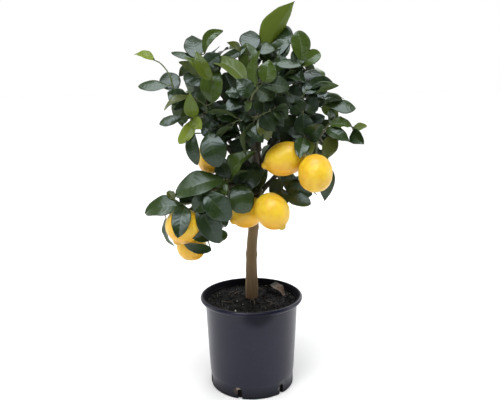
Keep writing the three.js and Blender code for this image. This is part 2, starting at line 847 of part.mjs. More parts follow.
// The stalk and its calyx, from the wood to the lemon's stem end.
function fruitStalk(row, swell) {
  const end = seen(row.stem);
  const inward = seen(row.nipple).sub(end).normalize();
  const start = nearestOn(curveThrough(BRANCHES[row.branch].line), seen(row.stalk[0]));
  const between = row.stalk.slice(1).map(seen);
  const collar = end.clone().addScaledVector(inward, -CALYX.thick);
  const path = new THREE.CatmullRomCurve3([start, ...between, collar]);
  const rim = end.clone().addScaledVector(inward, CALYX.sunk);
  const tall = CALYX.thick + CALYX.sunk;
  const radii = [CALYX.neck + swell, CALYX.radius + swell];
  const calyx = new THREE.CylinderGeometry(...radii, tall + 2 * swell, CALYX.sides);
  calyx.translate(0, tall / 2, 0);
  const twig = stem(path, () => STALK.radius, STALK.sides, STALK.steps, swell);
  return twig.add(solidOf(alongAxis(calyx, rim, collar)));
}

// ---- leaves --------------------------------------------------------------------------------

// A leaf from its root on the stem, through the blade's base, to its tip. The blade bows
// towards its upper side and folds up a little along the midrib. Each ring of corners is
// the left edge, the right edge, the top and the underside.
function leafSolid({ root, base, tip, wide, up, bow = LEAF.bow }, swell) {
  const along = tip.clone().sub(base);
  const length = along.length();
  along.divideScalar(length);
  const side = along.clone().cross(up).normalize();
  const face = side.clone().cross(along);
  const rings = LEAF_STATIONS.map(([share, halfShare]) => {
    const middle = base.clone().addScaledVector(along, share * length);
    middle.addScaledVector(face, bow * length * 4 * share * (1 - share));
    const half = (halfShare * wide) / 2 + swell;
    const thick = (share > 0 ? LEAF.halfThick : LEAF.stemHalfThick) + swell;
    return [
      middle.clone().addScaledVector(side, -half).addScaledVector(face, half * LEAF.fold),
      middle.clone().addScaledVector(side, half).addScaledVector(face, half * LEAF.fold),
      middle.clone().addScaledVector(face, thick),
      middle.clone().addScaledVector(face, -thick),
    ];
  });
  const [, , top, underside] = rings.at(-1);
  const onward = tip.clone().sub(top.clone().add(underside).multiplyScalar(0.5)).normalize();
  return solidOf(leafGeometry(root, rings, tip.clone().addScaledVector(onward, 2 * swell)));
}

// Upper and lower faces are split along the same diagonals, so that the thin blade never
// crosses itself.
function leafGeometry(root, rings, tip) {
  const corner = (ring, place) => 1 + ring * 4 + place;
  const last = rings.length - 1;
  const tipCorner = corner(rings.length, 0);
  const faces = [];
  const addFace = (reversed, a, b, c) => faces.push(a, ...(reversed ? [c, b] : [b, c]));
  for (const [edge, middle, reversed] of [[1, 2, false], [1, 3, true], [0, 2, true], [0, 3, false]]) {
    addFace(reversed, 0, corner(0, middle), corner(0, edge));
    for (let ring = 0; ring < last; ring += 1) {
      addFace(reversed, corner(ring, middle), corner(ring + 1, middle), corner(ring + 1, edge));
      addFace(reversed, corner(ring, middle), corner(ring + 1, edge), corner(ring, edge));
    }
    addFace(reversed, corner(last, middle), tipCorner, corner(last, edge));
  }
  const geometry = new THREE.BufferGeometry().setFromPoints([root, ...rings.flat(), tip]);
  return geometry.setIndex(faces);
}

function faceVector(name) {
  return new THREE.Vector3(...FACES[name]);
}

// The point that the photograph shows at a pixel, on the plane through base with that normal,
// or as near to it as a tip may lean.
function seenOnPlane([px, py], base, normal) {
  const sight = seen([px, py, 0]).sub(VIEW.eye);
  const reach = base.clone().sub(VIEW.eye).dot(normal) / sight.dot(normal);
  const front = -base.y;
  const meets = -VIEW.eye.clone().addScaledVector(sight, reach).y;
  const most = MOST_LEAN * seen([px, py, front]).distanceTo(base);
  return seen([px, py, front + THREE.MathUtils.clamp(meets - front, -most, most)]);
}

// A shoot as drawn in the photograph, and its fork: their stems and leaves.
function drawnShoot(row, index) {
  const line = row.line.map(seen);
  line[0] = nearestOn(curveThrough(BRANCHES[row.branch].line), line[0]);
  const path = new THREE.CatmullRomCurve3(line);
  const leaves = row.leaves.map((drawn) => {
    const base = seen(drawn.base);
    const up = faceVector(drawn.face);
    const ownDistance = drawn.tip.length === 3;
    const tip = ownDistance ? seen(drawn.tip) : seenOnPlane(drawn.tip, base, up);
    return { root: nearestOn(path, base), base, tip, wide: drawn.wide, up };
  });
  const side = fork(index, path);
  return { stems: [path, ...side.stems], leaves: [...leaves, ...side.leaves] };
}

// A repeatable number from 0 to 1.
function lot(seed, index, salt) {
  const value = Math.sin(seed + index * 37.719 + salt) * 43758.5453;
  return value - Math.floor(value);
}

function heading(azimuth, climb) {
  const [turn, lift] = [azimuth, climb].map(THREE.MathUtils.degToRad);
  return new THREE.Vector3(
    Math.cos(turn) * Math.cos(lift),
    Math.sin(turn) * Math.cos(lift),
    Math.sin(lift),
  );
}

// A stem that grows straight from start, but for a little rise in its middle.
function arched(start, way, reach) {
  const middle = start.clone().addScaledVector(way, reach / 2);
  middle.z += reach * RULE.arch;
  return new THREE.CatmullRomCurve3([start, middle, start.clone().addScaledVector(way, reach)]);
}

function ruledShoot(row) {
  const start = curveThrough(BRANCHES[row.branch].line).getPointAt(row.at);
  const way = heading(row.heading, row.climb);
  const path = arched(start, way, row.reach);
  const seed = row.heading * 12.9898 + row.at * 78.233;
  return { stems: [path], leaves: spiral(seed, path, way, row.leaves, RULE.length) };
}

// The side stem by which a drawn shoot grows back into the crown, and its leaves.
function fork(index, path) {
  const seed = index * 12.9898;
  const start = path.getPointAt(FORK.at);
  for (let attempt = 0; attempt < FORK.attempts; attempt += 1) {
    const [aside, back, rise] = [4, 5, 6].map((salt) => lot(seed, attempt, salt));
    const way = new THREE.Vector3(
      FORK.aside * (2 * aside - 1),
      FORK.leastBack + back,
      FORK.rise * (2 * rise - 1),
    ).normalize();
    const end = start.clone().addScaledVector(way, FORK.reach);
    if (!insideCrown(end) || !staysClear({ base: start, tip: end, wide: 0 })) continue;
    const sideStem = arched(start, way, FORK.reach);
    const leaves = spiral(seed, sideStem, way, FORK.leaves, FORK.length);
    return leaves.length > 0 ? { stems: [sideStem], leaves } : { stems: [], leaves };
  }
  return { stems: [], leaves: [] };
}

// Leaves in a spiral up a stem, drooping a little, each turned on round the stem until it
// stays inside the crown and clear of the daylight and the fruit. One that never does is
// left out.
function spiral(seed, path, way, count, length) {
  const leaves = [];
  for (let i = 0; i < count; i += 1) {
    for (let attempt = 0; attempt < RULE.attempts; attempt += 1) {
      const candidate = spiralLeaf(seed, path, way, i / (count - 1), i, attempt, length);
      if (!insideCrown(candidate.tip) || !staysClear(candidate)) continue;
      leaves.push(candidate);
      break;
    }
  }
  return leaves;
}

function spiralLeaf(seed, path, way, share, i, attempt, shortest) {
  const { degToRad, lerp } = THREE.MathUtils;
  const root = path.getPointAt(lerp(RULE.firstLeaf, 1, share));
  const turn = degToRad(RULE.twist * i + RULE.stray * lot(seed, i, 1) + RULE.turnOn * attempt);
  const splay = degToRad(lerp(RULE.splay, RULE.tipSplay, share));
  const sideways = new THREE.Vector3(-way.y, way.x, 0).normalize();
  const upward = sideways.clone().cross(way);
  const outward = sideways.multiplyScalar(Math.cos(turn)).addScaledVector(upward, Math.sin(turn));
  const direction = way.clone().multiplyScalar(Math.cos(splay));
  direction.addScaledVector(outward, Math.sin(splay));
  direction.z -= RULE.droop * lot(seed, i, 2);
  direction.normalize();
  const length = shortest * (1 + RULE.lengthSpread * lot(seed, i, 3));
  const base = root.clone().addScaledVector(direction, RULE.stalk);
  const tip = base.clone().addScaledVector(direction, length);
  const up = new THREE.Vector3(way.x * RULE.outwardLean, way.y * RULE.outwardLean, 1);
  return { root, base, tip, wide: length * RULE.slimness, up };
}

function insideCrown(point) {
  const { x, y } = pixelOf(point);
  return CROWN_OVALS.some(
    ([px, py, wide, tall]) => ((x - px) / wide) ** 2 + ((y - py) / tall) ** 2 < 1,
  );
}

// Whether a leaf leaves the places of daylight open and the fruit free.
function staysClear(row) {
  return !closesDaylight(row) && !meetsFruit(row);
}

function closesDaylight({ base, tip, wide }) {
  const from = pixelOf(base);
  const along = pixelOf(tip).sub(from);
  const pixelsPerMm = VIEW.focal / base.distanceTo(VIEW.eye);
  return DAYLIGHT.some(([px, py, radius]) => {
    const toGap = new THREE.Vector2(px, py).sub(from);
    const share = THREE.MathUtils.clamp(toGap.dot(along) / along.lengthSq(), 0, 1);
    const miss = toGap.sub(along.clone().multiplyScalar(share)).length();
    return miss < radius + RULE.seenHalfWidth * wide * pixelsPerMm;
  });
}

function meetsFruit({ base, tip }) {
  return LEMONS.some((row) => {
    const middle = seen(row.stem).add(seen(row.nipple)).multiplyScalar(0.5);
    const nearest = new THREE.Vector3();
    new THREE.Line3(base, tip).closestPointToPoint(middle, true, nearest);
    return nearest.distanceTo(middle) < row.girth / 2 + RULE.fruitRoom;
  });
}

function shootWood({ stems }, swell) {
  const radiusAt = taper(TWIG.thick, TWIG.thin);
  return stems
    .map((path) => stem(path, radiusAt, TWIG.sides, TWIG.steps, swell))
    .reduce((all, one) => all.add(one));
}

function shootLeaves({ leaves }, swell) {
  return leaves.map((row) => leafSolid(row, swell)).reduce((all, one) => all.add(one));
}

// A fallen leaf, curled and dry, on the soil behind the trunk.
function driedLeaf(swell) {
  const base = new THREE.Vector3(...DRIED_LEAF.base);
  const tip = new THREE.Vector3(...DRIED_LEAF.tip);
  const root = base.clone().addScaledVector(tip.clone().sub(base), -0.12);
  const up = new THREE.Vector3(0.15, -0.2, 1);
  return leafSolid({ root, base, tip, wide: DRIED_LEAF.wide, up, bow: DRIED_LEAF.bow }, swell);
}

// ---- materials -----------------------------------------------------------------------------

const finish = (color, roughness) => (
  new THREE.MeshStandardMaterial({ color, roughness, metalness: 0 })
);
const POT_FINISH = finish("#34363f", 0.45);
const SOIL_FINISH = finish("#241d18", 0.95);
const DRIED_FINISH = finish("#7a5a3c", 0.85);
const BARK_FINISH = finish("#6b553d", 0.85);
const TWIG_FINISH = finish("#5d6b3c", 0.7);
const LEMON_FINISH = finish("#eec832", 0.4);
const LEAF_FINISH = finish("#33501f", 0.35);

// ---- the tree ------------------------------------------------------------------------------

const group = new THREE.Group();
const standing = []; // the space that each placed piece keeps clear

function addMesh(name, solid, material) {
  const mesh = new THREE.Mesh(geometryOf(largestPiece(solid)), material);
  mesh.name = name;
  group.add(mesh);
}

function boxesMeet(a, b) {
  return [0, 1, 2].every((axis) => a.min[axis] <= b.max[axis] && b.min[axis] <= a.max[axis]);
}

function cutBack(solid, keepOuts) {
  return keepOuts.reduce(
    (left, other) => (boxesMeet(left.boundingBox(), other.boundingBox()) ? left.subtract(other) : left),
    solid,
  );
}

// Adds a piece, cut back where it would come nearer than the gap to an earlier one.
function place(name, shape, material) {
  addMesh(name, cutBack(shape(0), standing), material);
  standing.push(shape(GAP));
}

place("trunk", trunk, BARK_FINISH);
for (const [name, row] of Object.entries(BRANCHES)) {
  place(name, (swell) => branch(row, swell), BARK_FINISH);
}
place("potting_soil", pottingSoil, SOIL_FINISH);
place("dried_leaf", driedLeaf, DRIED_FINISH);
for (const row of LEMONS) {
  place(row.name, (swell) => lemon(row, swell), LEMON_FINISH);
  place(row.name.replace("lemon", "stalk"), (swell) => fruitStalk(row, swell), TWIG_FINISH);
}

// A leaf gives way to every other shoot's stem and to the leaves placed before it, so no
// stem is cut through by a leaf.
const names = [...SHOOTS, ...RULED_SHOOTS].map((row) => row.name);
const shoots = [...SHOOTS.map(drawnShoot), ...RULED_SHOOTS.map(ruledShoot)];
const stems = shoots.map((shoot) => shootWood(shoot, GAP));
const foliage = [];
shoots.forEach((shoot, index) => {
  const wood = cutBack(shootWood(shoot, 0), [...standing, ...stems.slice(0, index)]);
  const otherStems = stems.filter((_, other) => other !== index);
  const leaves = cutBack(shootLeaves(shoot, 0), [...standing, ...otherStems, ...foliage]);
  addMesh(names[index], wood.add(leaves), LEAF_FINISH);
  foliage.push(shootLeaves(shoot, GAP));
});

addMesh("nursery_pot", nurseryPot(), POT_FINISH);

export default group;
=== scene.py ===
"""The looks of a young lemon tree in a round nursery pot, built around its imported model.

A place that grows is given as the photograph shows it: (pixel across, pixel down,
millimetres in front of the trunk's upright plane). Sizes are millimetres until a mesh is
made, and metres in the materials, which read the mesh, and for the lights. -Y is the front.
"""

import math
import random

import bpy
import numpy as np
from mathutils import Matrix, Vector, noise


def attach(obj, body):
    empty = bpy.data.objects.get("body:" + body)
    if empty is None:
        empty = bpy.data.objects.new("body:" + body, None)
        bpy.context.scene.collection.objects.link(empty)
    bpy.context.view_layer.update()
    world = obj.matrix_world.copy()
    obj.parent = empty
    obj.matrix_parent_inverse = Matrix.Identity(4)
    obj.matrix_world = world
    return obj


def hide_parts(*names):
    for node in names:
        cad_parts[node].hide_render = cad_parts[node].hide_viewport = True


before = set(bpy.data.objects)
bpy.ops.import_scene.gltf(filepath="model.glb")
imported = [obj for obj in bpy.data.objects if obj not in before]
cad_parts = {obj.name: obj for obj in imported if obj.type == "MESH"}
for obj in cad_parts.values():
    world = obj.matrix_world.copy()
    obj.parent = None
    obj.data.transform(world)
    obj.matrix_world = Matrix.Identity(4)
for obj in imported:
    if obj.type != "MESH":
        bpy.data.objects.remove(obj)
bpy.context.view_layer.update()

METRE = 0.001  # metres in a millimetre
SEED = 7

# ---- the photograph's view ------------------------------------------------------------

EYE = np.array((-0.6, -1167.0, 623.4))
PITCH = 0.2125  # radians below level
ROLL = -0.011
FOCAL = 626.4  # photograph pixels
IMAGE_WIDE, IMAGE_TALL = 500, 400
SENSOR_WIDE = 36.0


def seen(place):
    """The point that the photograph shows at a pixel, at a distance before the trunk."""
    px, py, front = place
    dx, dy = px - IMAGE_WIDE / 2, py - IMAGE_TALL / 2
    across = (dx * math.cos(ROLL) + dy * math.sin(ROLL)) / FOCAL
    rise = (dx * math.sin(ROLL) - dy * math.cos(ROLL)) / FOCAL
    away = math.cos(PITCH) + rise * math.sin(PITCH)
    climb = rise * math.cos(PITCH) - math.sin(PITCH)
    reach = (-front - EYE[1]) / away
    return np.array((EYE[0] + across * reach, -front, EYE[2] + climb * reach))


def pixel_of(point):
    """The pixel at which the photograph shows a point."""
    to_point = point - EYE
    depth = to_point[1] * math.cos(PITCH) - to_point[2] * math.sin(PITCH)
    up = to_point[1] * math.sin(PITCH) + to_point[2] * math.cos(PITCH)
    x, y = FOCAL * to_point[0] / depth, -FOCAL * up / depth
    return np.array((
        IMAGE_WIDE / 2 + x * math.cos(ROLL) - y * math.sin(ROLL),
        IMAGE_TALL / 2 + x * math.sin(ROLL) + y * math.cos(ROLL),
    ))


# ---- pot and soil ----------------------------------------------------------------------

POT = dict(
    height=182.5, rim_radius=100, neck_radius=90.3, step_radius=83.2,
    foot_radius=82, foot_height=25, wall=2, floor=3, bead_radius=4.4, neck_drop=13, sides=160,
)
SLOT = dict(count=6, wide=9, tall=20, first_angle=-107, bite=8)
# Places on the pot, with how far each reaches along X, Y and Z: first a painted shadow under the
# rim, then stains, each with its colour.
POT_SHADOW_PATCH = ((14, -92, 172), (42, 40, 30))
POT_STAINS = [
    ((-30, -77, 15), (17, 14, 13), (0.085, 0.052, 0.034)),
    ((-27, -78, 20), (9, 9, 7), (0.34, 0.28, 0.22)),
    ((58, -58, 20), (20, 20, 16), (0.055, 0.057, 0.058)),
    ((52, -64, 12), (8, 9, 8), (0.16, 0.15, 0.14)),
]
SOIL = dict(edge_height=168, crown_height=177.5, crown_radius=16, trunk_room=14, gap=0.3)
SOIL_LUMPS = ((1.5, 0.06), (1.0, 0.2), (0.5, 0.55))  # height, and how close together
SOIL_BITS = dict(crumbs=1500, grit=16, fibres=200)
PEBBLE = dict(place=(-30.0, -62.0, 172.6), size=2.4)
# Straws and a thin pale curl that lie on the soil, as points and a radius.
PALE_STRANDS = [
    ([(-36, 16, 175), (-31, 22, 177), (-27, 30, 176.5)], 0.9),
    ([(-44, 26, 174.5), (-38, 30, 176), (-33, 38, 175)], 0.7),
    ([(-2, -30, 176), (-1, -24, 180), (3, -26, 181), (6, -32, 178), (5, -38, 175.6)], 0.55),
    ([(30, -22, 176), (36, -30, 177.5), (44, -36, 175)], 0.6),
    ([(-58, -12, 173), (-50, -20, 175), (-40, -24, 175.5)], 0.55),
    ([(12, 40, 176), (22, 46, 177), (30, 58, 174.5)], 0.6),
]
DRIED_LEAF = dict(base=(33, 64, 174), tip=(67, 14, 173.6), wide=27)
DRIED_SHAPE = dict(bow=0.13, fold=0.38, curl=0.15, twist=0.25, wave=0.07, waves=2.4)

# ---- wood ------------------------------------------------------------------------------

TRUNK = dict(buried=70, thick=12.8, thin=9.4, flare=1.8, bump_room=1)
TRUNK_KNOTS = [(0.47, 1.0), (0.63, 0.8), (0.78, 1.3), (0.9, 1.6)]  # share of length, swelling
TRUNK_LINE = [
    (252, 297, 0), (251.4, 257, 0), (253.3, 229, 0),
    (256, 200, 0), (257.5, 182, 0), (256.5, 163, 2),
]
# Radius at the foot, radius at the tip, and the line it follows.
BRANCHES = {
    "branch_leader": (7.4, 3, [
        (256.5, 163, 2), (258, 140, 5), (261, 115, 10), (267, 92, 14), (270, 74, 14)]),
    "branch_left": (6.2, 2.8, [
        (257, 178, 2), (243, 163, 15), (227, 147, 28), (213, 131, 38), (203, 112, 48)]),
    "branch_right": (6.2, 2.8, [
        (257, 172, 2), (270, 154, 14), (286, 138, 22), (302, 122, 26), (314, 107, 26)]),
    "branch_front": (5.4, 2.6, [
        (257, 176, 4), (256, 158, 32), (251, 138, 66), (249, 120, 86), (251, 100, 102)]),
    "branch_upper_left": (5, 2.6, [
        (257, 158, 4), (248, 140, 18), (238, 120, 36), (225, 100, 54), (213, 82, 62)]),
    "branch_low_left": (5, 2.6, [
        (256, 200, 4), (244, 190, 25), (233, 184, 50), (215, 191, 72), (197, 203, 84)]),
    "branch_low_right": (5, 2.6, [
        (257, 197, 4), (269, 183, 14), (286, 165, 30), (306, 144, 44), (321, 136, 40)]),
    "branch_back_left": (5.6, 2.6, [
        (256, 175, -2), (243, 157, -28), (227, 138, -52), (212, 118, -66)]),
    "branch_back_right": (5.6, 2.6, [
        (257, 168, -2), (271, 148, -28), (288, 126, -50), (302, 106, -62)]),
    "branch_back": (5.2, 2.6, [
        (258, 150, 0), (256, 128, -34), (253, 104, -58), (254, 82, -66)]),
}

# ---- fruit -----------------------------------------------------------------------------

# From the stem end to the nipple: share of radius, share of length.
LEMON_OUTLINE = [
    (0, 0.012), (0.2, 0), (0.58, 0.06), (0.88, 0.22), (1, 0.43), (0.94, 0.62),
    (0.71, 0.79), (0.43, 0.88), (0.23, 0.925), (0.18, 0.965), (0.1, 0.99), (0, 1),
]
# The same without a drawn-out nipple.
BLUNT_OUTLINE = [
    (0, 0.012), (0.2, 0), (0.6, 0.07), (0.9, 0.24), (1, 0.48), (0.93, 0.7),
    (0.74, 0.855), (0.45, 0.955), (0.2, 0.985), (0, 1),
]
# Stem end, nipple, girth, branch, the stalk's way, how green the nipple is, how much painted shade
# turns the lower side orange, and whether the nipple is blunt.
LEMONS = {
    "upper_middle": dict(
        stem=(305, 152.5, 70), nipple=(261.5, 166.5, 78), girth=59, branch="branch_low_right",
        stalk=[(310, 142, 44), (311, 147, 60)], green=0.25, under_shade=0.8, blunt=False),
    "right": dict(
        stem=(315.5, 157.5, 87), nipple=(315, 190, 131), girth=59, branch="branch_low_right",
        stalk=[(318, 138, 40), (317, 145, 72)], green=0.1, under_shade=0.35, blunt=True),
    "centre_front": dict(
        stem=(262.5, 196.5, 67), nipple=(284, 229.5, 105), girth=60,
        branch="branch_low_right", stalk=[(263, 190, 8), (261, 189, 34)], green=0.5, under_shade=0.65,
        blunt=False),
    "centre_left": dict(
        stem=(262, 204, 28), nipple=(230.5, 222.5, 56), girth=55, branch="branch_low_left",
        stalk=[(248, 194, 18), (260, 199, 26)], green=0.2, under_shade=0.8, blunt=False),
    "low_left": dict(
        stem=(190.5, 210, 80), nipple=(176, 245, 98), girth=66, branch="branch_low_left",
        stalk=[(199, 202, 83), (194, 205, 76)], green=0.3, under_shade=0.8, blunt=False),
    "low_under": dict(
        stem=(190.5, 229, 18), nipple=(192.5, 260.5, 46), girth=56, branch="branch_low_left",
        stalk=[(205, 197, 79), (200, 212, 30)], green=0.15, under_shade=0.8, blunt=True),
    "left_middle": dict(
        stem=(211, 142, 20), nipple=(210, 173.5, 46), girth=47, branch="branch_left",
        stalk=[(221, 140, 33), (216, 139, 26)], green=0.2, under_shade=0.8, blunt=True),
}
RIBS = dict(count=9, height=0.5, fade=14, nipple_at=0.93)
CALYX = dict(radius=5.4, neck=1.9, lobes=5, lobe_depth=0.28, thick=4, sunk=1.5)
STALK_RADIUS = 1.8

# ---- leaves ----------------------------------------------------------------------------

# Which way a leaf's glossy upper side looks. Its tip is where the photograph's line of sight
# meets the plane through its base that looks that way, unless its tip has its own distance.
FACES = {
    "viewer": (0, -1, 0.3),
    "tilt": (0, -1, 1),
    "sky": (0, -0.3, 1),
    "left": (-1, -0.8, 0.3),
    "right": (1, -0.8, 0.3),
    "away": (0, 1, 0.5),
    "left_tilt": (-0.3, -1, 0.9),
    "left_away": (-0.45, 1, 0.4),
    "low": (0.2, -1, -0.35),
}
# The colours of leaves by age, as a share of light sent back in red, green and blue, and how
# much light passes through them.
TONES = {
    "dark": ((0.010, 0.024, 0.005), 0.05),
    "silver": ((0.010, 0.024, 0.005), 0.05),  # as dark, but out of the shade
    "deep": ((0.021, 0.042, 0.007), 0.10),
    "green": ((0.052, 0.088, 0.010), 0.20),
    "bright": ((0.115, 0.165, 0.014), 0.40),
    "lime": ((0.26, 0.34, 0.04), 0.34),
    "olive": ((0.085, 0.100, 0.018), 0.26),
    "backlit": ((0.150, 0.215, 0.022), 0.6),
}
# The forms of blades that are not left to chance.
DOME = dict(fold=-0.05, bow=0.035, curl=0.04, twist=0, sway=0, wave=0.015, outline="round")
CUPPED = dict(fold=0.14, bow=0.04, curl=0.06, twist=0, sway=0, wave=0.03, outline="ovate")
ARCHED = dict(fold=-0.04, bow=0.17, curl=0.1, twist=0, sway=0, wave=0.02, outline="round")
FLAT = dict(fold=0.06, bow=0.02, curl=0, twist=0, sway=0, wave=0.02)
SADDLE = dict(fold=0.2, bow=0.13, curl=0.1, twist=0, sway=0, wave=0.04, outline="round")
SPOON = dict(fold=-0.1, bow=0.05, curl=0.05, twist=0, sway=0, wave=0.02, outline="spoon")
DRAPE = dict(fold=-0.12, bow=0.12, curl=0.5, twist=0, sway=0, wave=0.02, outline="boxy")


def leaf(base, tip, wide, face="viewer", tone="dark", **shape):
    return dict(base=base, tip=tip, wide=wide, face=face, tone=tone, shape=shape)


MOST_LEAN = 1.0  # most that a tip lies before or behind its base, over its distance aside

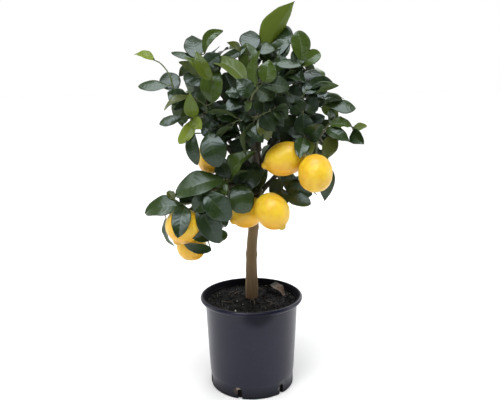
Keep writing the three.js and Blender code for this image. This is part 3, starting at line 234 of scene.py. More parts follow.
# Branch, the stem's line, and its leaves, each as the photograph shows it.
SHOOTS = {
    "shoot_far_left": ("branch_left", [
        (204, 114, 48), (190, 104, 42), (175, 91, 34),
        (169, 74, 28), (160, 63, 22), (154, 60, 18)], [
        leaf((154, 60, 18), (134, 54), 20, "tilt", "lime"),
        leaf((175, 92, 34), (166, 72), 38, "tilt", **DOME),
        leaf((168, 86, 30), (138, 86), 26, "tilt", "deep", **DOME),
        leaf((186, 101, 40), (167, 92), 34),
    ]),
    "shoot_upper_left": ("branch_upper_left", [
        (213, 83, 61), (206, 73, 62), (202, 61, 57), (200, 53, 51)], [
        leaf((197, 58, 55), (191, 35), 37, "tilt", **CUPPED),
        leaf((198, 61, 57), (171, 52), 16, "tilt", "deep", **DOME),
        leaf((204, 54, 50), (223, 29), 20, "viewer", "green", sway=-0.17, fold=0.2),
        leaf((205, 66, 62), (220, 54), 32, **FLAT),
        leaf((213, 81, 80), (184, 57, 84), 20, "viewer", "bright", outline="pointed"),
        leaf((210, 80, 90), (196, 51, 88), 24, "viewer", "bright", fold=0.2),
        leaf((202, 79, 58), (179, 60), 22, "away", "olive"),
        leaf((208, 85, 64), (184, 74), 36, "tilt", **DOME),
    ]),
    "shoot_left_upper": ("branch_left", [
        (206, 117, 48), (207, 108, 60), (203, 103, 66), (197, 100, 70)], [
        leaf((212, 103, 68), (217, 64), 42, "viewer", "green", outline="pointed", fold=0.3),
        leaf((197, 99, 70), (164, 107), 28, "sky", "olive", outline="ovate", sway=0.08),
        leaf((196, 103, 70), (174, 111), 34, "tilt"),
        leaf((204, 106, 58), (188, 94), 36, "viewer", "deep"),
        leaf((206, 110, 56), (222, 106), 34, "tilt", "deep"),
        leaf((204, 112, 52), (190, 103), 32),
    ]),
    "shoot_left_lower": ("branch_left", [
        (214, 132, 37), (206, 126, 50), (197, 119, 62), (191, 116, 66)], [
        leaf((187, 116, 66), (159, 124), 22, "tilt", "deep", **SPOON),
        leaf((192, 115, 66), (180, 119), 24, "tilt", "green"),
        leaf((194, 119, 64), (179, 144), 24, "viewer", "lime"),
        leaf((192, 118, 66), (202, 129), 24, "viewer", "lime"),
        leaf((194, 124, 62), (197, 165), 24, outline="spoon", sway=0.08),
        leaf((193, 117, 82), (190, 91, 106), 26, "viewer", "bright", outline="pointed"),
        leaf((205, 125, 52), (222, 116), 36),
    ]),
    "shoot_left_centre": ("branch_left", [
        (227, 147, 28), (219, 139, 52), (210, 135, 66)], [
        leaf((209, 132, 68), (218, 167, 92), 46, **ARCHED),
        leaf((216, 137, 58), (240, 132), 36, "tilt"),
        leaf((213, 135, 58), (201, 125), 32),
        leaf((224, 143, 38), (246, 138), 18, "sky", "deep"),
        leaf((229, 145, 32), (251, 148), 27, **FLAT),
        leaf((220, 139, 50), (228, 122), 34),
    ]),
    "shoot_centre_left": ("branch_upper_left", [
        (240, 124, 32), (240, 112, 58), (243, 100, 82), (248, 91, 97)], [
        leaf((249, 91, 98), (208, 60), 34, "tilt", "bright", sway=0.12, fold=0.34, twist=0),
        leaf((240, 108, 60), (224, 73), 42),
        leaf((240, 106, 48), (234, 66), 36),
        leaf((240, 120, 40), (218, 100), 34),
        leaf((243, 99, 84), (226, 110), 32, "tilt", "silver", **CUPPED),
        leaf((244, 94, 88), (225, 92), 30, "tilt", "silver", **CUPPED),
        leaf((240, 111, 62), (216, 116), 36),
        leaf((241, 117, 50), (256, 108), 34),
        leaf((240, 119, 46), (222, 128), 34, "tilt", "deep"),
    ]),
    "shoot_centre": ("branch_front", [
        (249, 121, 85), (256, 118, 96), (265, 113, 104), (275, 108, 108)], [
        leaf((243, 126, 92), (263, 142), 26, "tilt", "silver", **SADDLE),
        leaf((263, 114, 103), (262, 92), 38),
        leaf((270, 110, 106), (292, 103), 36, "tilt"),
        leaf((275, 108, 108), (288, 118), 30, "viewer", "deep"),
        leaf((260, 117, 98), (268, 140), 28, "viewer", "olive"),
        leaf((254, 118, 94), (238, 110), 32),
        leaf((263, 114, 103), (275, 131), 32),
        leaf((270, 111, 106), (284, 126), 26),
        leaf((252, 120, 92), (243, 137), 28),
        leaf((251, 121, 90), (250, 147), 32),
    ]),
    "shoot_front_top": ("branch_front", [
        (251, 102, 100), (253, 94, 106), (259, 87, 108), (265, 83, 108)], [
        leaf((266, 84, 108), (269, 59), 34, "viewer", "green", outline="pointed", fold=0.35),
        leaf((257, 88, 108), (261, 50), 28, "left", "green"),
        leaf((262, 85, 108), (290, 86), 36, "tilt", "deep"),
        leaf((258, 89, 108), (276, 98), 36),
        leaf((252, 97, 104), (237, 78), 32),
        leaf((251, 101, 102), (246, 112), 24, "left", "green"),
    ]),
    "shoot_top_left": ("branch_leader", [
        (263, 105, 11), (256, 88, 34), (250, 74, 46), (249, 62, 48), (250, 55, 44)], [
        leaf((250, 53, 44), (250, 30), 38, "tilt", **DOME),
        leaf((248, 69, 50), (246, 42), 38, "viewer", "green"),
        leaf((250, 61, 48), (249, 47), 24, "tilt", "deep", **DOME),
        leaf((241, 52, 48), (228, 42), 15, "right", "olive"),
        leaf((246, 47, 46), (214, 62), 18, "viewer", "deep"),
        leaf((250, 74, 48), (234, 60), 30, "tilt"),
        leaf((254, 84, 40), (240, 68), 34, "viewer", "deep"),
    ]),
    "shoot_top": ("branch_leader", [
        (270, 75, 14), (272, 63, 16), (273, 52, 14), (274, 47, 12)], [
        leaf((267, 54, 12), (295, 1, 4), 54, "left_away", "backlit", outline="pointed", fold=0.45,
             twist=0, sway=0.03, curl=0),
        leaf((275, 50, 26), (255, 47), 32, "tilt", "deep", **DOME),
        leaf((274, 53, 16), (262, 56), 18, "viewer", "deep"),
        leaf((278, 56, 24), (286, 25), 38, "left_tilt", **DOME),
        leaf((274, 63, 20), (262, 62), 26, "tilt", "deep"),
        leaf((273, 60, 18), (287, 50), 20, "viewer", "deep"),
        leaf((272, 64, 16), (262, 40), 36, "viewer", "deep"),
        leaf((273, 58, 14), (288, 38), 36, "viewer", "deep"),
    ]),
    "shoot_top_right": ("branch_leader", [
        (268, 90, 14), (280, 78, 30), (292, 69, 42), (300, 64, 46)], [
        leaf((301, 62, 46), (298, 31), 36, "viewer", "green"),
        leaf((302, 64, 46), (320, 52, 48), 26, "viewer", "green", outline="boxy"),
        leaf((304, 64, 48), (276, 64), 24, "tilt", "deep", **DOME),
        leaf((299, 66, 46), (316, 62), 20, "tilt", "olive"),
        leaf((295, 66, 46), (295, 52), 18, "tilt", "deep"),
        leaf((290, 71, 42), (281, 88), 34),
        leaf((286, 74, 38), (306, 82), 34, "tilt"),
        leaf((284, 75, 34), (280, 55), 34, "viewer", "deep"),
        leaf((294, 68, 44), (304, 50), 30, "viewer", "deep"),
    ]),
    "shoot_right_upper": ("branch_right", [
        (304, 120, 26), (303, 108, 42), (302, 98, 52), (306, 91, 52)], [
        leaf((306, 90, 54), (316, 69), 36, "tilt", **DOME),
        leaf((303, 93, 56), (321, 81), 32, "tilt", **CUPPED),
        leaf((308, 90, 50), (333, 82), 24, "tilt"),
        leaf((307, 92, 50), (339, 86), 24, "away", "green"),
        leaf((302, 97, 54), (285, 92), 36),
        leaf((303, 102, 50), (318, 110), 34),
        leaf((303, 107, 44), (290, 114), 34),
    ]),
    "shoot_right": ("branch_right", [
        (314, 108, 26), (318, 102, 28), (323, 103, 26)], [
        leaf((320, 101, 28), (344, 98), 32, "sky", "deep"),
        leaf((323, 103, 24), (343, 101), 28, "away"),
        leaf((324, 105, 26), (356, 108), 32, "tilt", "deep", **SPOON),
        leaf((323, 105, 24), (338, 117), 28, "away", "bright"),
        leaf((317, 103, 30), (306, 100), 34),
        leaf((319, 102, 20), (316, 84), 30, **FLAT),
        leaf((315, 107, 26), (322, 93), 30),
    ]),
    "shoot_far_right": ("branch_low_right", [
        (320, 137, 40), (327, 127, 36), (334, 120, 32),
        (341, 118, 30), (348, 121, 26), (353, 129, 22)], [
        leaf((353, 128, 22), (367, 126), 18, "away", "lime", outline="round"),
        leaf((353, 130, 22), (364, 144), 28, "left"),
        leaf((330, 125, 36), (352, 127), 26, "tilt", "green"),
        leaf((326, 129, 38), (351, 140), 30, "tilt", "deep"),
        leaf((334, 135, 40), (322, 161), 29, "viewer", "olive", outline="pointed"),
        leaf((329, 124, 34), (331, 108), 30, "right", "deep"),
    ]),
    "shoot_right_centre": ("branch_right", [
        (296, 128, 24), (299, 120, 46), (303, 113, 64)], [
        leaf((299, 120, 48), (280, 130), 34),
        leaf((303, 113, 64), (306, 136), 36),
        leaf((300, 124, 40), (313, 108), 34),
        leaf((297, 127, 30), (324, 116, 44), 30),
        leaf((294, 133, 24), (268, 131), 30),
        leaf((302, 114, 62), (292, 100), 34),
        leaf((301, 117, 54), (316, 114), 28, "tilt", "deep"),
        leaf((297, 126, 34), (280, 140), 30),
    ]),
    "shoot_over_lemons": ("branch_low_right", [
        (307, 144, 44), (306, 139, 60), (305, 137, 74)], [
        leaf((304, 138, 74), (299, 159, 112), 28, "viewer", "deep"),
        leaf((308, 140, 62), (311, 156, 106), 20, "viewer", "olive"),
        leaf((308, 138, 62), (323, 124, 94), 34),
        leaf((305, 137, 72), (286, 131), 32, "tilt"),
    ]),
    "shoot_behind_lemons": ("branch_low_right", [
        (320, 137, 38), (326, 150, 22), (328, 166, 18)], [
        leaf((328, 166, 18), (325, 202, 24), 30, "viewer", "deep"),
        leaf((326, 152, 22), (312, 166), 32),
    ]),
    "shoot_low_left_upper": ("branch_low_left", [
        (236, 185, 44), (230, 181, 58), (224, 180, 72)], [
        leaf((229, 180, 62), (254, 150, 74), 44, "left", "green", outline="pointed", fold=0.42,
             twist=0.2, bow=0.1),
        leaf((224, 180, 74), (175, 195), 50, "tilt", "deep", **SADDLE),
        leaf((228, 182, 68), (208, 194), 40, "viewer", "green"),
        leaf((227, 179, 64), (223, 157), 36),
        leaf((199, 178, 68), (183, 179), 9, "sky", "olive"),
    ]),
    "shoot_low_left": ("branch_low_left", [
        (200, 201, 82), (190, 203, 90), (182, 204, 88), (170, 207, 72), (164, 213, 60)], [
        leaf((184, 207, 88), (144, 210), 42, "tilt", "deep", outline="round", fold=0.15, twist=0),
        leaf((185, 206, 94), (178, 237, 144), 34, **SADDLE),
        leaf((175, 200, 84), (168, 191), 16, "tilt", "olive", outline="round"),
        leaf((166, 218, 58), (173, 249, 46), 18, "left", "deep"),
        leaf((198, 204, 90), (219, 243, 106), 40, **SADDLE),
        leaf((193, 203, 84), (181, 192), 32),
    ]),
    "shoot_low_under": ("branch_low_left", [
        (207, 196, 78), (212, 214, 58), (211, 230, 60), (207, 238, 68)], [
        leaf((211, 232, 70), (193, 239, 112), 26),
        leaf((211, 251, 66), (184, 244, 114), 24, "low", **FLAT),
        leaf((211, 228, 60), (224, 240, 30), 28, "viewer", "deep"),
        leaf((212, 218, 58), (226, 228, 30), 34),
    ]),
    "shoot_low_centre": ("branch_low_left", [
        (216, 190, 71), (211, 190, 88), (207, 191, 100)], [
        leaf((204, 192, 100), (230, 220, 110), 46, **SADDLE),
        leaf((211, 190, 90), (194, 212), 36, "viewer", "deep"),
    ]),
    "shoot_low_trunk": ("branch_low_left", [
        (245, 191, 24), (240, 187, 46), (236, 186, 64)], [
        leaf((240, 184, 62), (243, 211, 92), 44, "tilt", "deep", **DRAPE),
        leaf((240, 187, 50), (262, 172), 38),
        leaf((240, 187, 26), (228, 202, -2), 22),
        leaf((243, 187, 44), (257, 160), 36),
        leaf((246, 189, 28), (268, 168), 32),
        leaf((244, 189, 34), (259, 193), 28, "tilt"),
        leaf((238, 186, 58), (240, 163), 34),
    ]),
    "shoot_low_right": ("branch_low_right", [
        (277, 175, 22), (281, 182, 30), (282, 190, 34)], [
        leaf((281, 192, 36), (311, 204), 32, "tilt", "deep", **DOME),
        leaf((283, 184, 30), (313, 194), 32),
        leaf((281, 181, 32), (298, 178), 34),
        leaf((281, 188, 32), (284, 206), 26),
        leaf((280, 179, 28), (271, 197), 26, **FLAT),
    ]),
}

# Shoots grown by rule: branch, share of its length, heading (0 right, 90 back), climb,
# reach and number of leaves.
RULED_SHOOTS = {
    "shoot_back_left_tip": ("branch_back_left", 0.97, 140, 35, 58, 10),
    "shoot_back_left_side": ("branch_back_left", 0.66, 178, 8, 72, 10),
    "shoot_back_left_low": ("branch_back_left", 0.4, 104, -6, 84, 11),
    "shoot_back_right_tip": ("branch_back_right", 0.97, 48, 35, 58, 10),
    "shoot_back_right_side": ("branch_back_right", 0.66, 2, 4, 72, 10),
    "shoot_back_right_low": ("branch_back_right", 0.4, 62, -8, 84, 11),
    "shoot_back_tip": ("branch_back", 0.97, 96, 55, 58, 10),
    "shoot_back_middle": ("branch_back", 0.55, 88, 12, 88, 11),
    "shoot_inner_left": ("branch_upper_left", 0.6, 112, 40, 70, 9),
}
RULE = dict(
    twist=137.5, stray=50, first_leaf=0.12, stalk=9, length=58, length_spread=0.42,
    slimness=0.52, splay=62, tip_splay=28, droop=0.3, arch=0.06, outward_lean=0.6,
    dark_until=0.4, deep_until=0.8, seen_half_width=0.36, fruit_room=12, attempts=9, turn_on=40,
)
# A shoot forks inside the crown, towards the back, where a leaf of the fork finds room.
FORK = dict(
    at=0.45, reach=60, leaves=5, length=46, attempts=16, aside=0.9, least_back=0.3, rise=0.45)
# The crown's outline is inside these ovals: middle, half width and half height in pixels.
CROWN_OVALS = [
    (250, 98, 82, 56), (238, 150, 44, 34), (300, 130, 48, 32), (206, 206, 40, 28),
    (292, 184, 34, 18),
]
# Dark and deep leaves in this oval take the shaded leaf material, with its painted shade.
SHADE = (274, 113, 44, 34)  # the same for the shaded middle of the crown
# Where daylight shows through the crown: pixel and radius in pixels.
DAYLIGHT = [
    (200, 140, 5), (229, 156, 5), (261, 149, 5), (265, 187, 5), (317, 121, 3),
    (291, 124, 3), (342, 122, 4), (218, 172, 2), (276, 104, 2), (319, 104, 2),
    (328, 113, 2), (230, 62, 2), (230, 78, 2), (241, 123, 1), (274, 125, 2),
    (303, 109, 1), (277, 43, 2), (234, 145, 2),
]

TWIG = dict(thick=2.0, thin=1.1)
LEAF_STALK = dict(thick=1.25, thin=0.75, steps=6, sides=7)


# ---- curves ----------------------------------------------------------------------------

class Curve:
    """A smooth curve through points, read at shares of its length."""

    STEPS = 200

    def __init__(self, points):
        self.points = np.array(points, float)
        times = np.linspace(0, 1, self.STEPS + 1)
        samples = np.array([self.raw(t) for t in times])
        steps = np.linalg.norm(np.diff(samples, axis=0), axis=1)
        self.lengths = np.concatenate(([0], np.cumsum(steps)))
        self.times = times

    def raw(self, t):
        """A point of the centripetal Catmull-Rom curve, for t from 0 to 1."""
        p = self.points
        last = len(p) - 1
        k = min(int(t * last), last - 1)
        x = t * last - k
        p0 = p[k - 1] if k > 0 else 2 * p[0] - p[1]
        p3 = p[k + 2] if k + 2 <= last else 2 * p[last] - p[last - 1]
        p1, p2 = p[k], p[k + 1]
        d0, d1, d2 = (math.sqrt(np.linalg.norm(b - a)) for a, b in ((p0, p1), (p1, p2), (p2, p3)))
        m1 = ((p1 - p0) / d0 - (p2 - p0) / (d0 + d1) + (p2 - p1) / d1) * d1
        m2 = ((p2 - p1) / d1 - (p3 - p1) / (d1 + d2) + (p3 - p2) / d2) * d1
        bend = -3 * p1 + 3 * p2 - 2 * m1 - m2
        turn = 2 * p1 - 2 * p2 + m1 + m2
        return p1 + m1 * x + bend * x ** 2 + turn * x ** 3

    @property
    def length(self):
        return self.lengths[-1]

    def at(self, share):
        return self.raw(np.interp(share * self.length, self.lengths, self.times))

    def spaced(self, steps):
        return np.array([self.at(i / steps) for i in range(steps + 1)])

    def nearest(self, target):
        points = self.spaced(60)
        return points[np.argmin(np.linalg.norm(points - target, axis=1))]


def unit(vector):
    return vector / np.linalg.norm(vector)


def curve_of(places):
    return Curve([seen(place) for place in places])


def branch_curve(name):
    return curve_of(BRANCHES[name][2])


def seen_on_plane(px, py, base, normal):
    """The point that the photograph shows at a pixel, on a plane, or as near as it may lean."""
    sight = seen((px, py, 0)) - EYE
    front = -base[1]
    level = seen((px, py, front))
    meets = EYE + sight * np.dot(base - EYE, normal) / np.dot(sight, normal)
    most = MOST_LEAN * np.linalg.norm(level - base)
    return seen((px, py, front + np.clip(-meets[1] - front, -most, most)))


# ---- meshes ----------------------------------------------------------------------------

class Parts:
    """Gathers the parts of one mesh, with named values at their points."""

    def __init__(self):
        self.points, self.faces, self.materials = [], [], []
        self.values = {}
        self.count = 0

    def add(self, points, faces, material=0, **values):
        points = np.asarray(points, float)
        self.points.append(points)
        self.faces.extend([tuple(i + self.count for i in face) for face in faces])
        self.materials.extend([material] * len(faces))
        for name, value in values.items():
            column = self.values.setdefault(name, np.zeros(0))
            missing = np.zeros(self.count - len(column))
            filled = np.broadcast_to(np.asarray(value, float), (len(points),))
            self.values[name] = np.concatenate((column, missing, filled))
        self.count += len(points)

    def make(self, name, materials, smooth=True):
        mesh = bpy.data.meshes.new(name)
        points = np.concatenate(self.points) * METRE
        mesh.from_pydata(points.tolist(), [], self.faces)
        for material in materials:
            mesh.materials.append(material)
        mesh.polygons.foreach_set("material_index", self.materials)
        mesh.polygons.foreach_set("use_smooth", [smooth] * len(self.faces))
        for key, column in self.values.items():
            column = np.concatenate((column, np.zeros(self.count - len(column))))
            attribute = mesh.attributes.new(key, "FLOAT", "POINT")
            attribute.data.foreach_set("value", column.astype(np.float32))
        mesh.update()
        mesh.validate()
        made = bpy.data.objects.new(name, mesh)
        bpy.context.scene.collection.objects.link(made)
        return made


def stand_for(piece, node):
    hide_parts(node)
    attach(piece, "root")


def grid_faces(rows, columns, closed=False):
    """Faces of a grid of points held row by row. Closed joins each row's ends."""
    faces = []
    span = columns if closed else columns - 1
    for r in range(rows - 1):
        low, high = r * columns, (r + 1) * columns
        for c in range(span):
            n = (c + 1) % columns
            faces.append((low + c, low + n, high + n, high + c))
    return faces


def capped_faces(rows, sides):
    """Faces of a closed grid, with a fan at each end from the two points after the grid's."""
    faces = grid_faces(rows, sides, closed=True)
    first, last, start = rows * sides, rows * sides + 1, (rows - 1) * sides
    for i in range(sides):
        n = (i + 1) % sides
        faces += [(first, n, i), (last, start + i, start + n)]
    return faces


def ring(radius, height, sides):
    turns = [2 * math.pi * i / sides for i in range(sides)]
    return [(radius * math.cos(turn), radius * math.sin(turn), height) for turn in turns]


def tube(points, radii, sides, roughness=0.0, grain=0.1):
    """A closed tube along points, with a little unevenness, and its faces."""
    points = np.asarray(points, float)
    radii = np.broadcast_to(np.asarray(radii, float), (len(points),))
    tangents = np.gradient(points, axis=0)
    across = np.cross(tangents[0], (0.3, 0.2, 1.0))
    rings = []
    for centre, tangent, radius in zip(points, tangents, radii):
        tangent = unit(tangent)
        across = unit(across - tangent * np.dot(across, tangent))
        other = np.cross(tangent, across)
        for i in range(sides):
            turn = 2 * math.pi * i / sides
            out = across * math.cos(turn) + other * math.sin(turn)
            bump = 0.0
            if roughness:
                spot = Vector(out * radius * grain * 3) + Vector(centre * grain)
                bump = roughness * noise.noise(spot)
            rings.append(centre + out * (radius + bump))
    rings += [points[0], points[-1]]
    return np.array(rings), capped_faces(len(points), sides)


# ---- materials -------------------------------------------------------------------------

class Shader:
    """A short way to write a material's nodes."""

    def __init__(self, name):
        self.material = bpy.data.materials.new(name)
        self.material.use_nodes = True
        self.tree = self.material.node_tree
        self.nodes = self.tree.nodes
        self.surface = self.nodes["Principled BSDF"]
        self.output = self.nodes["Material Output"]

    def node(self, kind, inputs=(), **settings):
        node = self.nodes.new("ShaderNode" + kind)
        for key, value in settings.items():
            setattr(node, key, value)
        for key, value in dict(inputs).items():
            self.put(node.inputs[key], value)
        return node

    def put(self, socket, value):
        if isinstance(value, bpy.types.NodeSocket):
            self.tree.links.new(value, socket)
        elif hasattr(value, "__len__") and len(value) == 3 and socket.type == "RGBA":
            socket.default_value = (*value, 1)
        else:
            socket.default_value = value

    def set(self, **inputs):
        for key, value in inputs.items():
            self.put(self.surface.inputs[key.replace("_", " ")], value)

    def place(self):
        return self.node("TexCoord").outputs["Object"]

    def value(self, name):
        return self.node("Attribute", attribute_name=name).outputs["Fac"]

    def stretched(self, scale):
        mapping = self.node("Mapping", {"Vector": self.place(), "Scale": scale})
        return mapping.outputs["Vector"]

    def noise(self, scale, detail=3.0, roughness=0.55, vector=None, distortion=0.0):
        vector = vector or self.place()
        made = self.node("TexNoise", {
            "Vector": vector, "Scale": scale, "Detail": detail,
            "Roughness": roughness, "Distortion": distortion})
        return made.outputs["Fac"]

    def cells(self, scale, vector=None, randomness=1.0):
        vector = vector or self.place()
        made = self.node("TexVoronoi", {
            "Vector": vector, "Scale": scale, "Randomness": randomness})
        return made.outputs["Distance"]

    def math(self, operation, a, b=0.0, c=None, clamp=False):
        made = self.node("Math", operation=operation, use_clamp=clamp)
        for index, value in enumerate((a, b, c)):
            if value is not None:
                self.put(made.inputs[index], value)
        return made.outputs["Value"]

    def ramp(self, factor, low, high, to_low=0.0, to_high=1.0):
        made = self.node("MapRange", {
            "Value": factor, "From Min": low, "From Max": high,
            "To Min": to_low, "To Max": to_high}, interpolation_type="SMOOTHSTEP")
        return made.outputs["Result"]

    def ramp_line(self, factor, low, high, to_low, to_high):
        """A straight line between two points, given in millimetres."""
        made = self.node("MapRange", {
            "Value": factor, "From Min": low * METRE, "From Max": high * METRE,
            "To Min": to_low * METRE, "To Max": to_high * METRE})
        return made.outputs["Result"]

    def near(self, place, reach):
        """1 at a place in millimetres, falling to 0 at its reach along each axis."""
        shift = [-p / r for p, r in zip(place, reach)]
        scale = [1 / (METRE * r) for r in reach]
        mapping = self.node("Mapping", {"Vector": self.place(), "Location": shift, "Scale": scale})
        far = self.node("VectorMath", {0: mapping.outputs["Vector"]}, operation="LENGTH")
        return self.math("SUBTRACT", 1.0, far.outputs["Value"], clamp=True)

    def mix(self, factor, a, b, blend="MIX"):
        made = self.node("Mix", data_type="RGBA", blend_type=blend)
        self.put(made.inputs["Factor"], factor)
        self.put(made.inputs["A"], a)
        self.put(made.inputs["B"], b)
        return made.outputs["Result"]

    def bump(self, height, strength, distance):
        made = self.node("Bump", {"Height": height, "Strength": strength, "Distance": distance})
        return made.outputs["Normal"]

    def blend_surface(self, factor, other):
        """Shows the main surface and, by the factor, another one."""
        both = self.node("MixShader", {
            0: factor, 1: self.surface.outputs["BSDF"], 2: other.outputs["BSDF"]})
        self.tree.links.new(both.outputs["Shader"], self.output.inputs["Surface"])


def colour_attribute(shader, name):
    """A colour held as three values at the mesh's points."""
    parts = [shader.value(name + "_" + channel) for channel in "rgb"]
    joined = shader.node("CombineColor", dict(zip(("Red", "Green", "Blue"), parts)))
    return joined.outputs["Color"]


VEINS = dict(count=8.0, bend=1.5)


def leaf_material(name, shaded=False):
    """Glossy above with a pale midrib and sunk veins, duller and paler below. The shaded copy, for
    leaves inside the crown, carries painted shade: its colour is darkened and its gloss weakened."""
    s = Shader(name)
    across, along, side = s.value("leaf_across"), s.value("leaf_along"), s.value("leaf_side")
    width = s.math("ABSOLUTE", across)
    own = colour_attribute(s, "leaf_colour")
    # Painted shade: the shaded copy's colour is darkened here, and its gloss is weakened further
    # down.
    if shaded:
        own = s.mix(1.0, own, (0.62, 0.62, 0.62), "MULTIPLY")
    blotch = s.noise(30, 3, 0.6)
    own = s.mix(s.ramp(blotch, 0.35, 0.8, 0.0, 0.5), own, s.mix(0.3, own, (0.09, 0.13, 0.02)))
    below = s.mix(0.45, own, (0.07, 0.10, 0.03))
    skin = s.mix(side, below, own)

    midrib_width = s.math("MULTIPLY_ADD", along, -0.03, 0.045)
    midrib = s.math("SUBTRACT", 1.0, s.math("DIVIDE", width, midrib_width), clamp=True)
    bend = s.math("MULTIPLY", s.math("POWER", width, 1.4), VEINS["bend"])
    phase = s.math("SUBTRACT", s.math("MULTIPLY", along, VEINS["count"]), bend)
    phase = s.math("MULTIPLY_ADD", s.noise(70, 2), 0.9, phase)
    wave = s.math("SINE", s.math("MULTIPLY", phase, 2 * math.pi))
    fade = s.ramp(width, 0.4, 0.95, 1.0, 0.0)
    vein = s.math("MULTIPLY", s.ramp(wave, 0.9, 1.0), fade)
    lines = s.math("MAXIMUM", s.math("MULTIPLY", vein, 0.2), s.math("MULTIPLY", midrib, 0.7))
    pale = s.mix(0.5, own, (0.15, 0.20, 0.06))
    s.set(Base_Color=s.mix(lines, skin, pale))

    swell = s.math("MULTIPLY", s.math("MULTIPLY_ADD", wave, -0.5, 0.5), fade)
    height = s.math("MULTIPLY_ADD", s.noise(420, 2, 0.6), 0.1, s.math("MULTIPLY", swell, 0.35))
    height = s.math("MULTIPLY_ADD", s.noise(85, 2, 0.5), 0.16, height)
    s.set(Normal=s.bump(height, 0.5, 0.0007))
    gloss = s.math("MULTIPLY_ADD", s.noise(60, 3), 0.14, 0.36 if shaded else 0.22)
    s.set(Roughness=s.mix(side, (0.5, 0.5, 0.5), gloss))
    s.set(Specular_IOR_Level=0.28 if shaded else 0.55, Specular_Tint=(0.82, 0.94, 1.0))

    through = s.node("BsdfTranslucent", {"Color": s.mix(0.7, own, (0.38, 0.44, 0.035))})
    s.blend_surface(s.value("leaf_thin"), through)
    return s.material


def twig_material():
    s = Shader("green_twig")
    streak = s.noise(60, 4, 0.6, s.stretched((1, 1, 0.35)))
    green = s.mix(s.ramp(streak, 0.3, 0.7), (0.045, 0.065, 0.016), (0.085, 0.115, 0.032))
    brown = s.mix(streak, (0.075, 0.060, 0.030), (0.15, 0.12, 0.065))
    s.set(Base_Color=s.mix(s.value("woody"), green, brown), Roughness=0.5)
    s.set(Normal=s.bump(s.noise(300, 3), 0.3, 0.0004))
    return s.material


def bark_material():
    s = Shader("young_bark")
    streak = s.noise(42, 6, 0.62, s.stretched((1.6, 1.6, 0.16)), 0.3)
    patch = s.noise(16, 3, 0.5, s.stretched((1, 1, 0.5)))
    fine = s.noise(220, 4, 0.6, s.stretched((1, 1, 0.2)))
    brown = s.mix(s.ramp(streak, 0.3, 0.7), (0.085, 0.050, 0.022), (0.235, 0.150, 0.066))
    brown = s.mix(s.ramp(patch, 0.35, 0.7, 0.0, 0.55), brown, (0.165, 0.125, 0.058))
    pores = s.ramp(s.cells(150, s.stretched((1, 1, 2.4))), 0.02, 0.22, 1.0, 0.0)
    brown = s.mix(s.math("MULTIPLY", pores, 0.35), brown, (0.36, 0.28, 0.18))
    # Painted shade: where this value is high, high on the trunk and along the branches inside the
    # crown, the bark is near-black brown.
    young = s.mix(streak, (0.020, 0.018, 0.010), (0.042, 0.036, 0.018))
    s.set(Base_Color=s.mix(s.value("young"), brown, young), Roughness=0.78)
    height = s.math("ADD", s.math("MULTIPLY", streak, 0.8), s.math("MULTIPLY", fine, 0.3))
    s.set(Normal=s.bump(height, 0.7, 0.0012))
    return s.material


def lemon_material(name, green, under_shade):
    """Waxy pored peel, greener towards the nipple, darker orange in each pore, and with painted
    shade that turns its lower side orange.
    """
    s = Shader(name)
    along = s.value("fruit_along")
    broad = s.math("MULTIPLY", s.noise(24, 3, 0.5), 0.6)
    cloud = s.math("MULTIPLY_ADD", s.noise(95, 3, 0.6), 0.45, broad)
    peel = s.mix(s.ramp(cloud, 0.36, 0.68), (0.74, 0.415, 0.013), (0.83, 0.575, 0.026))
    # Painted shade: the lower a place on the fruit, the more its peel turns orange.
    depth = s.math("MULTIPLY_ADD", cloud, 0.3, s.value("fruit_depth"))
    low = s.ramp(depth, 0.55, 1.15, 0.0, under_shade)
    peel = s.mix(low, peel, (0.70, 0.31, 0.008))
    tip = s.math("MULTIPLY", s.ramp(along, 0.86, 1.0), green)
    tip = s.math("MULTIPLY", tip, s.ramp(s.noise(60, 2), 0.3, 0.6))
    peel = s.mix(tip, peel, (0.26, 0.36, 0.05))
    stem_end = s.ramp(along, 0.0, 0.14, 0.5, 0.0)
    peel = s.mix(stem_end, peel, (0.55, 0.50, 0.04))
    pore = s.ramp(s.cells(640, randomness=0.9), 0.0, 0.5)
    peel = s.mix(s.ramp(pore, 0.0, 0.5, 0.22, 0.0), peel, (0.66, 0.34, 0.008))
    s.set(Base_Color=peel, Roughness=s.math("MULTIPLY_ADD", s.noise(240, 2), 0.14, 0.24))
    s.set(Subsurface_Weight=0.16, Subsurface_Radius=(1.0, 0.55, 0.12), Subsurface_Scale=0.006)
    s.set(Specular_IOR_Level=0.5)
    dents = s.math("ADD", pore, s.math("MULTIPLY", s.noise(130, 3, 0.5), 1.2))
    s.set(Normal=s.bump(dents, 0.55, 0.0007))
    return s.material


def calyx_material():
    s = Shader("calyx")
    patch = s.noise(120, 3)
    s.set(Base_Color=s.mix(patch, (0.07, 0.10, 0.025), (0.16, 0.17, 0.05)), Roughness=0.6)
    s.set(Normal=s.bump(s.noise(400, 2), 0.3, 0.0004))
    return s.material


def soil_material():
    """Dark moist peat, with bits from black to rust and straw."""
    s = Shader("potting_soil")
    shade = s.value("bit_shade")
    crumb = s.noise(260, 5, 0.7)
    dark = s.mix(s.ramp(crumb, 0.35, 0.75), (0.0012, 0.0011, 0.0012), (0.0045, 0.004, 0.0038))
    rust = s.mix(s.noise(90, 3), (0.0045, 0.0038, 0.003), (0.013, 0.011, 0.008))
    straw = s.mix(s.noise(200, 2), (0.080, 0.066, 0.046), (0.24, 0.21, 0.165))
    bit = s.mix(s.ramp(shade, 0.35, 0.6), dark, rust)
    bit = s.mix(s.ramp(shade, 0.8, 0.95), bit, straw)
    s.set(Base_Color=bit, Roughness=s.ramp(s.noise(120, 3), 0.3, 0.7, 0.7, 0.95))
    s.set(Specular_IOR_Level=0.17)
    s.set(Normal=s.bump(crumb, 0.8, 0.002))
    return s.material


def pebble_material():
    s = Shader("pale_grit")
    s.set(Base_Color=s.mix(s.noise(300, 3), (0.35, 0.34, 0.32), (0.62, 0.60, 0.56)), Roughness=0.7)
    return s.material


